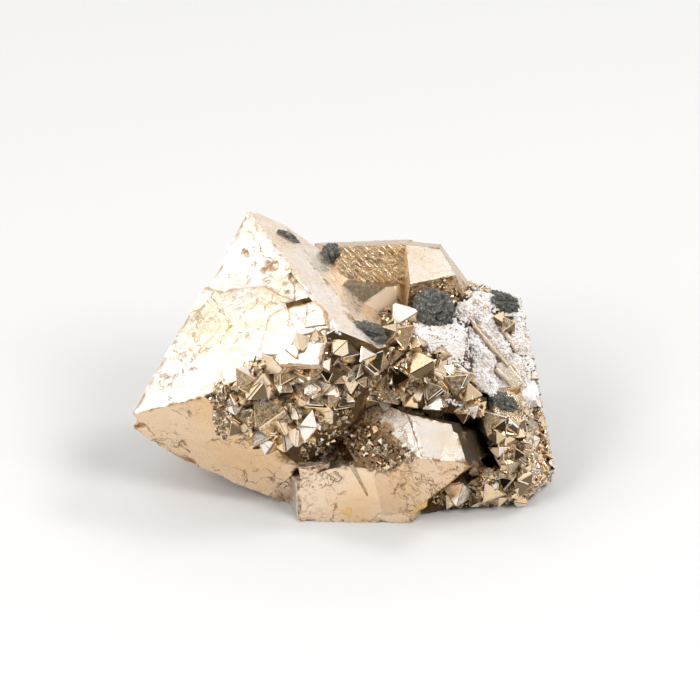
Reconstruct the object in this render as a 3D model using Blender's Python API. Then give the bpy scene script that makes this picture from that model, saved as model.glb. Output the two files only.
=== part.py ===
"""A hand-sized pyrite specimen: one large octahedron with smaller crystals grown against it,
dark sphalerite lumps, and a crust of white quartz over the right shoulder.

Everything is laid out in millimetres on the specimen's display plane, which leans back from
upright: u runs to the right, v runs up the leaning plane, and w stands out of it towards
someone looking at the display side.  put() turns such a form into the part's own frame,
in metres, with +Z up and the flat broken base at Z = 0.
"""

import math
import random

import bmesh
import bpy
from mathutils import Matrix, Vector, noise
from mathutils.bvhtree import BVHTree

MM = 0.001

# ---------------------------------------------------------------- driving dimensions

LEAN = math.radians(30.0)      # how far the display plane leans back from upright
BASE_DROP = 31.8               # the broken base lies this far under the display plane's origin
CENTRE_X = -1.44               # the middle of the whole specimen, seen from above
CENTRE_Y = 12.22
ROOM = 0.35                    # gap between two minerals, which keeps their solids apart

DISPLAY = Matrix((
    (1.0, 0.0, 0.0, -CENTRE_X),
    (0.0, math.sin(LEAN), -math.cos(LEAN), -CENTRE_Y),
    (0.0, math.cos(LEAN), math.sin(LEAN), BASE_DROP),
    (0.0, 0.0, 0.0, 1.0),
))

# The large octahedron: three of its tips point up, left and towards the viewer.
GIANT_AT = (-12.5, -5.7, -14.4)
GIANT_REACH = 35.2
GIANT_UP = (-0.231, 0.973, -0.017)
GIANT_LEFT = (-0.888, -0.205, 0.411)
GIANT_CUBE = 0.985
UNDER_AT = (-14.6, -8.75, -16.2)    # its parallel twin, which shows along the lower edge
UNDER_REACH = 33.0
UNDER_INSET = 0.4                   # how much further the twin's cuts go in
GIANT_CUTS = [
    ((-27.0, -10.0, 5.4), (0.03, -0.44, 0.90)),      # hollow that the left druse lines
    ((-1.0, -16.0, 0.0), (0.64, -0.77, 0.05)),       # crevice beside the lower crystal
    ((-16.0, -29.6, -8.0), (-0.36, -0.90, -0.10)),   # broken under its near edge
]

# The blocks round it: a point inside, half size, and the flat faces that bound it, each a
# point that it passes through and the way it looks.
BLOCKS = {
    # massive pyrite that everything grows from, broken flat at the back and below
    "core": ((10, -8, -26), 42, [
        ((0, -20, -6.0), (0.05, 0.12, 0.99)),
        ((15, 1, -0.9), (0.42, 0.42, 0.80)),
        ((18.0, 7.6, -6), (-0.45, 0.85, 0.25)),
        ((36.1, 0, -14), (0.98, 0.18, 0.0)),
        ((29, 11.4, -14), (0.20, 0.97, 0.12)),
        ((8, 14, -24), (-0.05, 0.95, 0.30)),
        ((33, -29.5, -8), (0.20, -0.90, 0.30)),
        ((37.6, -27.2, -8), (0.75, -0.62, 0.10)),
        ((5, 10, -38), (0.10, 0.62, -0.78)),
        ((30, -8, -31), (0.55, 0.42, -0.72)),
        ((0, 4, -36), (-0.30, 0.72, -0.62)),
        ((8, -26, -34), (0.15, 0.05, -0.98)),
        ((-16, -10, -25), (-0.95, 0.10, -0.30)),
        ((-11.5, -28, -9), (-0.70, -0.30, 0.65)),
    ]),
    # massive pyrite under the middle band of small crystals
    "middle": ((12, -7, -8), 16, [
        ((12, -6, 1.6), (0.04, 0.06, 0.99)),
        ((-4.0, 0, 0), (-0.98, 0.10, 0.10)),
        ((9.5, -11.2, 0), (-0.15, -0.98, 0.12)),
        ((15.0, -13.0, 0), (-0.35, -0.93, 0.12)),
        ((24.6, -8, 0), (0.94, 0.20, 0.25)),
        ((12, 5.0, -2), (0.10, 0.90, 0.42)),
        ((12, -7, -20), (0, 0, -1)),
    ]),
    # rough body at the right end
    "right": ((32, -18, -10), 16, [
        ((31, -14, -0.6), (0.12, 0.40, 0.91)),
        ((31, -21, -0.2), (0.15, -0.52, 0.84)),
        ((32.6, -21, -0.7), (0.45, -0.10, 0.88)),
        ((27.2, -20, -3), (-0.92, 0.10, 0.38)),
        ((37.6, -20, -8), (0.95, 0.16, 0.26)),
        ((32, -30.6, -8), (0.16, -0.94, 0.28)),
        ((36.8, -28.0, -8), (0.75, -0.62, 0.22)),
        ((30, -8.0, -4), (-0.10, 0.90, 0.42)),
        ((32, -18, -16), (0, 0, -1)),
    ]),
    # crystal with the bright upper face, at the front
    "front": ((13, -22, -4), 17, [
        ((13.6, -21.4, 8.0), (-0.30, 0.42, 0.857)),
        ((13.6, -21.4, 8.0), (-0.586, 0.065, 0.808)),
        ((13.6, -21.4, 8.0), (-0.35, -0.50, 0.79)),
        ((-2.0, -16.6, -3.0), (-0.88, -0.40, 0.20)),
        ((22.9, -19.6, 8.0), (0.86, 0.42, 0.28)),
        ((9.2, -11.6, 0.0), (0.30, 0.94, 0.12)),
        ((3.6, -11.8, 0.0), (-0.45, 0.88, 0.12)),
        ((17.2, -28.4, 4.0), (0.60, -0.79, 0.06)),
        ((8.0, -33.2, -3.0), (0.10, -0.96, 0.20)),
        ((13, -22, -18), (0, 0, -1)),
    ]),
    # crystal below it, with the wide front face that stands on the base
    "lower": ((2, -30, -10), 18, [
        ((1.2, -23.6, 2.4), (-0.03, -0.475, 0.88)),
        ((-11.1, -29.0, -3.0), (-0.96, -0.16, 0.22)),
        ((-6.0, -24.2, 1.0), (-0.30, 0.94, 0.16)),
        ((1.5, -23.2, 1.0), (0.12, 0.98, 0.14)),
        ((13.4, -34.0, -5.0), (0.80, -0.45, 0.30)),
        ((2, -30, -26), (0, 0, -1)),
    ]),
    # pale-topped crystal on the upper right, with a rough front face
    "upper_right": ((17, 13, -20), 15, [
        ((12.4, 13.2, -6.2), (0.35, 0.72, 0.60)),
        ((12.4, 13.2, -6.2), (0.40, -0.22, 0.89)),
        ((11.2, 17.0, -14.0), (-0.98, 0.10, 0.16)),
        ((17.0, 21.1, -18.0), (0.08, 0.99, 0.10)),
        ((21.4, 17.0, -20.0), (0.80, 0.58, 0.10)),
        ((25.2, 10.2, -20.0), (0.93, 0.30, 0.20)),
        ((21.0, 7.0, -14.0), (0.30, -0.94, 0.10)),
        ((17, 13, -30), (0.30, 0.34, -0.89)),
    ]),
    # scratched block behind it, at the top
    "upper_back": ((4, 13, -27), 14, [
        ((4.0, 17.0, -16.5), (-0.06, 0.22, 0.97)),
        ((3.0, 21.5, -20.0), (-0.03, 0.99, 0.10)),
        ((-5.8, 19.0, -20.0), (-0.92, 0.30, 0.25)),
        ((12.6, 20.5, -24.0), (0.98, 0.14, 0.10)),
        ((4, 15, -35), (-0.12, 0.50, -0.86)),
    ]),
    # crystal in the notch between the large one and the scratched block
    "notch": ((4, 9, -16), 9, [
        ((1.4, 8.6, -9.2), (-0.16, 0.02, 0.98)),
        ((1.4, 8.6, -9.2), (0.32, -0.61, 0.73)),
        ((3.0, 13.4, -11), (0.03, 0.97, 0.20)),
        ((10.0, 11.0, -12.0), (0.95, 0.10, 0.30)),
        ((-0.8, 11.0, -12.0), (-0.85, -0.45, 0.25)),
        ((5.0, 4.6, -9.0), (0.25, -0.95, 0.20)),
        ((4, 9, -24), (0, 0, -1)),
    ]),
}

# Ledges of the scratched block: how far each stands out, and where its upper edge and its
# left end are.
LEDGES = [(1.2, 17.2, -4.5), (2.4, 14.9, 0.6)]

# Dark cavity between the front crystal and the right end: a point inside, half size, faces.
CAVITY = ((24.6, -18.4, -2), 11, [
    ((23.2, -18.4, 0), (-0.90, -0.42, 0.0)),
    ((27.0, -18.4, 0), (0.88, 0.46, 0.0)),
    ((24.6, -14.4, 0), (0.25, 0.96, 0.0)),
    ((24.6, -22.8, 0), (-0.20, -0.97, 0.0)),
])

# Small crystals that show a clear face: the place of that face on the display plane, how far
# it stands out of the body there, the way it looks, reach and spin.
SHOWN = [
    # left druse, lining the hollow in the large crystal
    ((-16.8, -12.0), 2.8, (-0.10, 0.05, 0.99), 5.6, 20),
    ((-9.6, -12.8), 2.4, (-0.42, 0.50, 0.75), 3.1, 40),
    ((-7.6, -7.6), 2.4, (-0.10, -0.45, 0.88), 3.0, 10),
    ((-9.1, -3.8), 2.6, (-0.40, 0.46, 0.79), 3.4, 75),
    ((-12.5, -4.7), 2.0, (0.10, 0.18, 0.98), 3.4, 15),
    ((-14.0, -6.6), 2.2, (-0.45, 0.45, 0.77), 2.6, 55),
    ((-20.0, -7.3), 1.6, (0.30, 0.05, 0.95), 3.0, 80),
    ((-22.4, -10.8), 1.3, (0.36, -0.02, 0.93), 2.8, 35),
    ((-20.8, -13.3), 2.0, (-0.30, -0.20, 0.93), 2.8, 60),
    ((-22.9, -16.0), 1.5, (-0.12, -0.52, 0.84), 2.6, 5),
    ((-19.2, -15.6), 1.8, (0.50, -0.30, 0.80), 2.6, 30),
    ((-8.8, 1.7), 1.6, (0.20, 0.42, 0.88), 3.0, 25),
    ((-11.1, 0.2), 1.8, (-0.42, 0.48, 0.77), 2.8, 65),
    ((-5.9, 2.0), 1.6, (-0.36, 0.52, 0.77), 2.4, 90),
    ((-5.6, -1.5), 2.2, (-0.42, 0.52, 0.74), 2.6, 0),
    ((-4.6, -3.9), 2.0, (0.05, -0.10, 0.99), 3.4, 50),
    ((-2.8, -9.4), 1.8, (0.10, -0.18, 0.98), 3.0, 15),
    ((-4.8, -13.0), 1.8, (-0.18, -0.55, 0.82), 3.4, 70),
    ((-10.5, -17.2), 1.4, (-0.10, -0.52, 0.85), 3.2, 100),
    ((-16.2, -17.6), 1.4, (-0.10, -0.60, 0.79), 2.8, 35),
    # middle band
    ((-0.2, -0.1), 1.8, (0.10, 0.28, 0.95), 2.9, 0),
    ((5.3, 0.2), 2.0, (0.08, 0.30, 0.95), 3.0, 45),
    ((0.8, -4.7), 1.8, (0.15, 0.00, 0.99), 2.6, 20),
    ((4.4, -2.4), 2.2, (-0.10, 0.10, 0.99), 3.6, 65),
    ((4.5, -5.8), 1.8, (0.30, 0.10, 0.95), 2.8, 35),
    ((9.7, -5.3), 2.2, (0.05, -0.05, 1.00), 3.2, 15),
    ((10.3, -2.7), 2.4, (-0.40, 0.50, 0.77), 2.2, 80),
    ((10.5, 3.0), 3.0, (0.12, 0.24, 0.96), 4.0, 55),
    ((7.9, 2.8), 2.4, (-0.45, -0.05, 0.89), 3.0, 30),
    ((13.8, -2.2), 3.6, (-0.36, 0.47, 0.80), 4.2, 12),
    ((18.2, -3.6), 2.0, (0.20, 0.30, 0.93), 3.0, 70),
    ((16.8, -5.1), 2.2, (-0.12, -0.42, 0.90), 2.6, 25),
    ((21.2, -6.5), 2.6, (0.05, -0.08, 1.00), 3.4, 50),
    ((24.4, -8.6), 2.0, (0.42, 0.15, 0.89), 3.0, 5),
    ((16.5, -10.8), 2.0, (-0.38, 0.48, 0.79), 3.0, 95),
    ((11.2, -9.4), 1.8, (-0.38, 0.50, 0.78), 2.6, 40),
    ((24.5, -12.0), 1.8, (-0.08, -0.40, 0.91), 2.7, 60),
    ((19.0, 8.5), 2.4, (-0.30, 0.52, 0.80), 3.2, 45),
    ((10.6, 7.2), 3.2, (-0.30, 0.50, 0.81), 4.2, 20),
    ((28.4, -14.4), 2.0, (-0.16, 0.10, 0.98), 4.2, 30),
    ((32.4, -15.1), 1.2, (-0.05, -0.40, 0.92), 2.2, 0),
    # lower right rim
    ((20.8, -28.6), 3.2, (-0.55, -0.15, 0.82), 3.8, 55),
    ((28.4, -28.8), 2.0, (-0.05, -0.50, 0.86), 3.8, 10),
    ((35.0, -27.4), 1.4, (0.05, -0.46, 0.89), 3.2, 35),
    ((25.5, -27.1), 2.0, (0.10, 0.02, 0.99), 2.6, 75),
    ((25.9, -23.6), 1.6, (0.10, 0.12, 0.99), 2.6, 100),
    ((34.6, -24.7), 1.2, (-0.30, 0.40, 0.87), 2.4, 15),
]

# Small crystals spread over an area: its middle and half sizes on the display plane, their
# spacing, and the least and greatest reach.
SPREAD = [
    ((-14.5, -10.0), (8.5, 8.5), 2.9, (2.0, 3.1)),
    ((-5.0, -6.0), (6.0, 8.0), 2.8, (1.9, 3.0)),
    ((10.5, -4.0), (13.5, 6.6), 2.9, (1.9, 3.0)),
    ((24.0, -9.5), (5.0, 5.0), 2.7, (1.7, 2.6)),
    ((33.0, -20.0), (6.0, 9.5), 2.7, (1.6, 2.7)),
    ((28.0, -29.5), (9.0, 2.0), 2.7, (1.6, 2.4)),
]

# The same on the far side: middle and half sizes across and above the base, seen from behind.
FAR_SPREAD = [
    ((12.0, 14.0), (21.0, 12.0), 4.6, (2.8, 4.6)),
]

# Larger crystals on the far side: how far across, back and above the base each one's middle
# is, its reach, and how far it is turned about X and Z.
FAR_LARGE = [
    ((19.0, 18.0, 11.0), 13.0, 25, 20),
    ((32.0, 10.0, 13.0), 9.5, 50, 65),
    ((3.0, 24.0, 20.0), 9.0, 15, 50),
    ((25.0, 16.0, 25.0), 8.0, 70, 10),
    ((8.0, 24.0, 7.0), 8.0, 35, 80),
]

# Sphalerite lumps: place of the middle on the display plane, how far it stands out, half
# sizes, turn and seed.
LUMPS = {
    "sphalerite_large": ((16.7, 7.9), -5.0, (4.0, 4.2, 3.6), 20, 1.0),
    "sphalerite_middle": ((2.8, 2.9), 2.8, (4.3, 2.7, 2.8), -5, 2.0),
    "sphalerite_low": ((31.0, -10.8), -3.4, (3.2, 2.1, 2.2), -25, 3.0),
    "sphalerite_edge": ((31.2, 9.6), -13.8, (3.2, 1.9, 2.4), -30, 4.0),
    "sphalerite_flat": ((-13.0, 22.6), -17.5, (2.7, 1.5, 1.6), -35, 5.0),
    "sphalerite_back": ((-3.7, 19.6), -18.6, (2.0, 2.2, 2.4), 0, 6.0),
}

# Quartz crust over the right shoulder: a point inside it, the way its upper side looks, its
# thickness, and its edges, each a place on the display plane and the way out of the crust.
CRUST_AT = (24, 0, -7.1)
CRUST_LOOK = (0.42, 0.42, 0.80)
CRUST_HALF = 21.0
CRUST_THICK = 1.9
CLEARED = 14.0                 # how far above the crust its room reaches
CRUST_EDGES = [
    ((21.5, -4.2), (-0.565, -0.825)),
    ((18.0, 6.8), (-0.53, 0.85)),
    ((29.0, 11.2), (0.10, 0.99)),
    ((36.2, 0.0), (0.98, 0.19)),
    ((34.0, -11.2), (-0.07, -1.0)),
]


# ---------------------------------------------------------------- tools

def cut_flat(bm, point, looks):
    """Takes away all that lies beyond a plane, and closes the cut with one flat face."""
    cut = bmesh.ops.bisect_plane(
        bm, geom=bm.verts[:] + bm.edges[:] + bm.faces[:],
        plane_co=Vector(point), plane_no=Vector(looks).normalized(), clear_outer=True)
    rim = [e for e in cut["geom_cut"] if isinstance(e, bmesh.types.BMEdge)]
    if rim:
        bmesh.ops.edgeloop_fill(bm, edges=rim)


def block(at, half, faces, room=0.0):
    """A block cut out of a cube by flat faces, each moved outwards by some room."""
    bm = bmesh.new()
    bmesh.ops.create_cube(bm, size=2 * half, matrix=Matrix.Translation(at))
    for point, looks in faces:
        looks = Vector(looks).normalized()
        cut_flat(bm, Vector(point) + looks * room, looks)
    return bm


def octahedron(at, reach, turn, cube=1.0):
    """An octahedron whose tips are cut square at a share of their reach."""
    bm = bmesh.new()
    bmesh.ops.create_uvsphere(bm, u_segments=4, v_segments=2, radius=reach)
    if cube < 1.0:
        for axis in range(3):
            for sign in (-1, 1):
                looks = Vector((0, 0, 0))
                looks[axis] = sign
                cut_flat(bm, looks * reach * cube, looks)
    bmesh.ops.transform(bm, matrix=Matrix.Translation(at) @ turn, verts=bm.verts)
    return bm


def giant(at, reach, inset=0.0):
    """The large octahedron or its twin, with the hollow and broken places cut away."""
    up = Vector(GIANT_UP).normalized()
    out = up.cross(Vector(GIANT_LEFT)).normalized()
    turn = Matrix((up, out.cross(up), out)).transposed().to_4x4()
    bm = octahedron(at, reach, turn, GIANT_CUBE)
    for point, looks in GIANT_CUTS:
        cut_flat(bm, Vector(point) - Vector(looks) * inset, looks)
    return bm


def facing_crystal(at, looks, reach, spin):
    """An octahedron with one face centred at a point and looking one way, spun about that way."""
    looks = Vector(looks).normalized()
    stand = Vector((1, 1, 1)).rotation_difference(Vector((0, 0, 1))).to_matrix().to_4x4()
    spun = Matrix.Rotation(math.radians(spin), 4, "Z")
    lean = Vector((0, 0, 1)).rotation_difference(looks).to_matrix().to_4x4()
    return octahedron(Vector(at) - looks * reach / math.sqrt(3), reach, lean @ spun @ stand)


def lump(at, radii, turn_deg, seed, room=0.0):
    """A rough rounded lump: a ball of flat faces, squashed, turned and pushed in and out."""
    bm = bmesh.new()
    bmesh.ops.create_icosphere(bm, subdivisions=2 if room else 3, radius=1.0)
    for vert in bm.verts:
        if room:
            vert.co *= 1.16
        else:
            vert.co *= 1.0 + 0.22 * noise.noise(vert.co * 2.1 + Vector((seed, 2.3 * seed, -seed)))
    turn = Matrix.Rotation(math.radians(turn_deg), 4, "Z")
    size = Matrix.Diagonal((radii[0] + room, radii[1] + room, radii[2] + room, 1.0))
    bmesh.ops.transform(bm, matrix=Matrix.Translation(at) @ turn @ size, verts=bm.verts)
    return bm


def crust(room=0.0):
    """The crust: a slab with a grainy upper side, cut to its edges, or its smooth-sided room."""
    looks = Vector(CRUST_LOOK).normalized()
    bm = bmesh.new()
    bmesh.ops.create_cube(bm, size=1.0)
    if not room:
        top = [e for e in bm.edges if all(v.co.z > 0 for v in e.verts)]
        bmesh.ops.subdivide_edges(bm, edges=top, cuts=22, use_grid_fill=True)
    thick = CRUST_THICK + (CLEARED if room else 0.0)
    size = Matrix.Diagonal((2 * CRUST_HALF, 2 * CRUST_HALF, thick, 1.0))
    bmesh.ops.transform(bm, matrix=size, verts=bm.verts)
    bmesh.ops.translate(bm, vec=(0, 0, thick / 2 - room), verts=bm.verts)
    if not room:
        for vert in bm.verts:
            if vert.co.z > 0.01:
                vert.co.z += 0.75 * noise.noise(vert.co * 0.45) + 0.4 * noise.noise(vert.co * 1.3)
                vert.co.z -= 0.3
    lean = Vector((0, 0, 1)).rotation_difference(looks).to_matrix().to_4x4()
    bmesh.ops.transform(bm, matrix=Matrix.Translation(CRUST_AT) @ lean, verts=bm.verts)
    for (u, v), out in CRUST_EDGES:
        out = Vector((*out, 0)).normalized()
        cut_flat(bm, Vector((u, v, 0)) + out * room, out)
    return bm


def material(name, colour, roughness, metallic):
    """A plain finish for a mineral."""
    made = bpy.data.materials.new(name)
    made.use_nodes = True
    finish = made.node_tree.nodes["Principled BSDF"]
    finish.inputs["Base Color"].default_value = (*colour, 1.0)
    finish.inputs["Roughness"].default_value = roughness
    finish.inputs["Metallic"].default_value = metallic
    return made


def put(name, bm, group, finish=None):
    """Turns a form into a named object in the part's frame; one with no finish is a tool."""
    bmesh.ops.transform(bm, matrix=Matrix.Scale(MM, 4) @ DISPLAY, verts=bm.verts)
    bmesh.ops.recalc_face_normals(bm, faces=bm.faces)
    mesh = bpy.data.meshes.new(name)
    bm.to_mesh(mesh)
    bm.free()
    made = bpy.data.objects.new(name, mesh)
    group.objects.link(made)
    if finish:
        mesh.materials.append(finish)
    else:
        made.hide_render = True
        made.display_type = "WIRE"
    return made


def combine(target, group, how):
    """Joins a collection of solids to the target, or cuts them from it."""
    step = target.modifiers.new(group.name, "BOOLEAN")
    step.operation = how
    step.operand_type = "COLLECTION"
    step.collection = group
    step.solver = "EXACT"


def collection(name):
    """A collection under the scene's own."""
    made = bpy.data.collections.new(name)
    bpy.context.scene.collection.children.link(made)
    return made


# ---------------------------------------------------------------- crystals of the body

def body_forms():
    """The large solids of the body by name, before any small crystal is set on them."""
    forms = {
        "giant": giant(GIANT_AT, GIANT_REACH),
        "under": giant(UNDER_AT, UNDER_REACH, UNDER_INSET),
    }
    from_part = DISPLAY.inverted()
    for step, (at, reach, about_x, about_z) in enumerate(FAR_LARGE):
        turn = Matrix.Rotation(math.radians(about_z), 4, "Z")
        turn @= Matrix.Rotation(math.radians(about_x), 4, "X")
        forms[f"far_{step}"] = octahedron(from_part @ Vector(at), reach, turn, 0.92)
    for name, (at, half, faces) in BLOCKS.items():
        forms[name] = block(at, half, faces)
    at, half, (front, _, left, right, _) = BLOCKS["upper_back"]
    for step, (out, top, end) in enumerate(LEDGES):
        raised = Vector(front[0]) + Vector((0, 0, out))
        right_end = Vector(right[0]) - Vector((0.5 + 0.4 * step, 0, 0))
        forms[f"ledge_{step}"] = block(at, half, [
            (raised, front[1]), ((0, top, 0), (-0.06, 0.99, 0.10)), ((end, 0, 0), left[1]),
            (right_end, right[1]), ((0, 0, -24 - step), (0, 0, -1))])
    return forms


def surface_of(forms):
    """A search tree over the faces of some forms."""
    whole = bmesh.new()
    for form in forms.values():
        mesh = bpy.data.meshes.new("probe")
        form.to_mesh(mesh)
        whole.from_mesh(mesh)
        bpy.data.meshes.remove(mesh)
    tree = BVHTree.FromBMesh(whole)
    whole.free()
    return tree


def grid(middle, halves, spacing, draw):
    """Places of a jittered triangular grid that lie inside an ellipse."""
    rows = int(halves[1] / spacing / 0.87) + 1
    columns = int(halves[0] / spacing) + 1
    for row in range(-rows, rows + 1):
        for column in range(-columns, columns + 1):
            x = spacing * (column + 0.5 * (row % 2) + draw.uniform(-0.3, 0.3))
            y = spacing * (0.87 * row + draw.uniform(-0.3, 0.3))
            if (x / halves[0]) ** 2 + (y / halves[1]) ** 2 < 1.0:
                yield middle[0] + x, middle[1] + y


def bare(place, reach):
    """Whether no other mineral sits where a small crystal of some reach would grow."""
    for (u, v), _, radii, _, _ in LUMPS.values():
        if math.hypot(place.x - u, place.y - v) < max(radii) + 0.5 * reach:
            return False
    return any((place.x - u) * x + (place.y - v) * y > -0.4 * reach for (u, v), (x, y) in CRUST_EDGES)


def spread(tree, draw, areas, start_of, inward):
    """Small crystals over some areas, each sunk into the body by part of its reach."""
    forms = []
    for middle, halves, spacing, (least, most) in areas:
        for place in grid(middle, halves, spacing, draw):
            reach = draw.uniform(least, most)
            axis = Vector([draw.gauss(0, 1) for _ in range(3)]).normalized()
            turn = Matrix.Rotation(draw.uniform(0, math.tau), 4, axis)
            hit = tree.ray_cast(start_of(*place), inward)[0]
            if hit and bare(hit, reach):
                forms.append(octahedron(hit + inward * 0.25 * reach, reach, turn))
    return forms


def small_crystals(tree):
    """All the small crystals of the display side and the far side."""
    draw = random.Random(15)
    forms = []
    for place, stands, looks, reach, spin in SHOWN:
        hit = tree.ray_cast(Vector((*place, 60)), Vector((0, 0, -1)))[0]
        forms.append(facing_crystal(hit + Vector((0, 0, stands * 0.6)), looks, reach, spin))
    forms += spread(tree, draw, SPREAD, lambda u, v: Vector((u, v, 60)), Vector((0, 0, -1)))
    behind = Vector((0, -math.sin(LEAN), math.cos(LEAN)))
    from_part = DISPLAY.inverted()
    forms += spread(tree, draw, FAR_SPREAD, lambda x, z: from_part @ Vector((x, 80, z)), behind)
    return forms


def grow_cluster(specimen, finish):
    """All the pyrite as one solid, with room for the other minerals and a flat base."""
    growth = collection("crystals_joined")
    pockets = collection("pockets")
    forms = body_forms()
    tree = surface_of(forms)
    cluster = put("pyrite_cluster", forms.pop("core"), specimen, finish)
    for name, form in forms.items():
        put(name, form, growth)
    for step, form in enumerate(small_crystals(tree)):
        put(f"small_{step:03d}", form, growth)
    combine(cluster, growth, "UNION")

    for name, (place, out, radii, turn, seed) in LUMPS.items():
        put(f"pocket_{name}", lump((*place, out), radii, turn, seed, ROOM), pockets)
    put("pocket_crust", crust(ROOM), pockets)
    put("cavity", block(*CAVITY), pockets)
    ground = bmesh.new()
    bmesh.ops.create_cube(ground, size=200, matrix=Matrix.Translation((0, 0, -100)))
    bmesh.ops.transform(ground, matrix=DISPLAY.inverted(), verts=ground.verts)
    put("ground", ground, pockets)
    combine(cluster, pockets, "DIFFERENCE")
    return cluster


# ---------------------------------------------------------------- the specimen

def build():
    """Makes every piece of the specimen."""
    for old in list(bpy.data.objects):
        bpy.data.objects.remove(old, do_unlink=True)
    specimen = collection("pyrite_specimen")
    grow_cluster(specimen, material("pyrite", (0.80, 0.62, 0.42), 0.18, 1.0))

    dark = material("sphalerite", (0.06, 0.065, 0.06), 0.45, 0.2)
    crust_cuts = collection("crust_cuts")
    for name, (place, out, radii, turn, seed) in LUMPS.items():
        put(name, lump((*place, out), radii, turn, seed), specimen, dark)
        put(f"crust_{name}", lump((*place, out), radii, turn, seed, ROOM), crust_cuts)
    pale = material("quartz", (0.80, 0.77, 0.75), 0.6, 0.0)
    combine(put("quartz_crust", crust(), specimen, pale), crust_cuts, "DIFFERENCE")


build()
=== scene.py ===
import math
import random

import bmesh
import bpy
import numpy as np
from mathutils import Matrix, Vector, noise
from mathutils.bvhtree import BVHTree


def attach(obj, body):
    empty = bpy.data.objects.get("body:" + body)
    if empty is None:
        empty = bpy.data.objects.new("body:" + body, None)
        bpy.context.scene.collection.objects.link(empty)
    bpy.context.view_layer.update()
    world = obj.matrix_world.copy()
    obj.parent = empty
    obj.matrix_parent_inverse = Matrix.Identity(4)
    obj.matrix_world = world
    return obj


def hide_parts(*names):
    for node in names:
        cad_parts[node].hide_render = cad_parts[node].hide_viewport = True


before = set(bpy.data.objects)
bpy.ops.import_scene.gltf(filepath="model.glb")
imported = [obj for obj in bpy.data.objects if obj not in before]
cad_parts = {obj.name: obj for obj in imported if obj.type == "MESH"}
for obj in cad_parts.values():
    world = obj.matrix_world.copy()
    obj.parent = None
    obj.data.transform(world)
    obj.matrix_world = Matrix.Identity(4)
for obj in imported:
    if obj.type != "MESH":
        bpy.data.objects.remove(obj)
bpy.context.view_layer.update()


# ---------------------------------------------------------------- table, camera and light
# A white table top and a white room, brightest up on the left, with the side behind the viewer
# left dark: polished faces turned up mirror the lamps, and faces turned to the viewer mirror the
# dark side and a few white cards in it. Two more lamps fill the shadows and aren't mirrored.

TABLE_HALF = 3.0
TABLE_GREY = (0.475, 0.478, 0.482)
ROOM_BRIGHTEST = (-0.60, 0.16, 0.78)
ROOM_PALE = (0.99, 0.99, 1.0)
ROOM_DARK = (1.0, 0.80, 0.60)
CARDS = [    # white cards behind the viewer: place and size
    ((0.66, -1.12, 0.56), 0.36),
    ((-0.84, -0.98, 0.50), 0.34),
    ((0.44, -0.88, 0.98), 0.28),
    ((-0.52, -0.96, 0.88), 0.22),
]
CARD_GLOW = 4.2
SPECIMEN = Vector((0.0, 0.0, 0.02))      # what every lamp is turned to
VIEW_DISTANCE = 0.9
VIEW_WIDTH = 0.140             # how much the picture spans at the specimen
LEAN = math.radians(30.0)      # the display plane leans back by this, and faces the camera
BASE_DROP = 31.8
CENTRE_X = -1.44
CENTRE_Y = 12.22
MM = 0.001

DISPLAY = Matrix((
    (1.0, 0.0, 0.0, -CENTRE_X),
    (0.0, math.sin(LEAN), -math.cos(LEAN), -CENTRE_Y),
    (0.0, math.cos(LEAN), math.sin(LEAN), BASE_DROP),
    (0.0, 0.0, 0.0, 1.0),
))


def new_finish(name):
    """An empty finish; returns it with its node tree and its shader."""
    finish = bpy.data.materials.new(name)
    finish.use_nodes = True
    return finish, finish.node_tree, finish.node_tree.nodes["Principled BSDF"]


def add_object(name, data):
    """A new object in the scene, at the origin."""
    made = bpy.data.objects.new(name, data)
    bpy.context.scene.collection.objects.link(made)
    return made


def mesh_of(name, bm, finishes=()):
    """A mesh made of a form, which it uses up, with its finishes."""
    mesh = bpy.data.meshes.new(name)
    bm.to_mesh(mesh)
    bm.free()
    for finish in finishes:
        mesh.materials.append(finish)
    return mesh


def table_top():
    """The pale table."""
    bm = bmesh.new()
    bmesh.ops.create_grid(bm, x_segments=1, y_segments=1, size=TABLE_HALF)
    finish, _, shader = new_finish("white_table")
    shader.inputs["Base Color"].default_value = (*TABLE_GREY, 1.0)
    shader.inputs["Roughness"].default_value = 0.9
    shader.inputs["Specular IOR Level"].default_value = 0.1
    add_object("table_top", mesh_of("table_top", bm, [finish]))


def feed(tree, socket, value):
    """Gives a node's input a number or a colour, or links it to another node's output."""
    if isinstance(value, bpy.types.NodeSocket):
        tree.links.new(value, socket)
    else:
        socket.default_value = value


def math_node(tree, how, first, second=None, clamp=False):
    """A Math node; returns its result."""
    made = tree.nodes.new("ShaderNodeMath")
    made.operation = how
    made.use_clamp = clamp
    feed(tree, made.inputs[0], first)
    if second is not None:
        feed(tree, made.inputs[1], second)
    return made.outputs[0]


def vector_node(tree, how, first, second, out="Vector"):
    """A Vector Math node; returns its result."""
    made = tree.nodes.new("ShaderNodeVectorMath")
    made.operation = how
    feed(tree, made.inputs[0], first)
    feed(tree, made.inputs[1], second)
    return made.outputs[out]


def ramp(tree, value, low, high, to_low=0.0, to_high=1.0):
    """A smooth step of a value from one range to another."""
    made = tree.nodes.new("ShaderNodeMapRange")
    made.interpolation_type = "SMOOTHSTEP"
    tree.links.new(value, made.inputs["Value"])
    ends = {"From Min": low, "From Max": high, "To Min": to_low, "To Max": to_high}
    for key, number in ends.items():
        made.inputs[key].default_value = number
    return made.outputs[0]


def colour_mix(tree, share, first, second):
    """A mix of two colours by a share; returns the colour."""
    made = tree.nodes.new("ShaderNodeMix")
    made.data_type = "RGBA"
    tree.links.new(share, made.inputs["Factor"])
    for slot, value in ((6, first), (7, second)):
        feed(tree, made.inputs[slot], (*value, 1.0) if isinstance(value, tuple) else value)
    return made.outputs[2]


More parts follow.
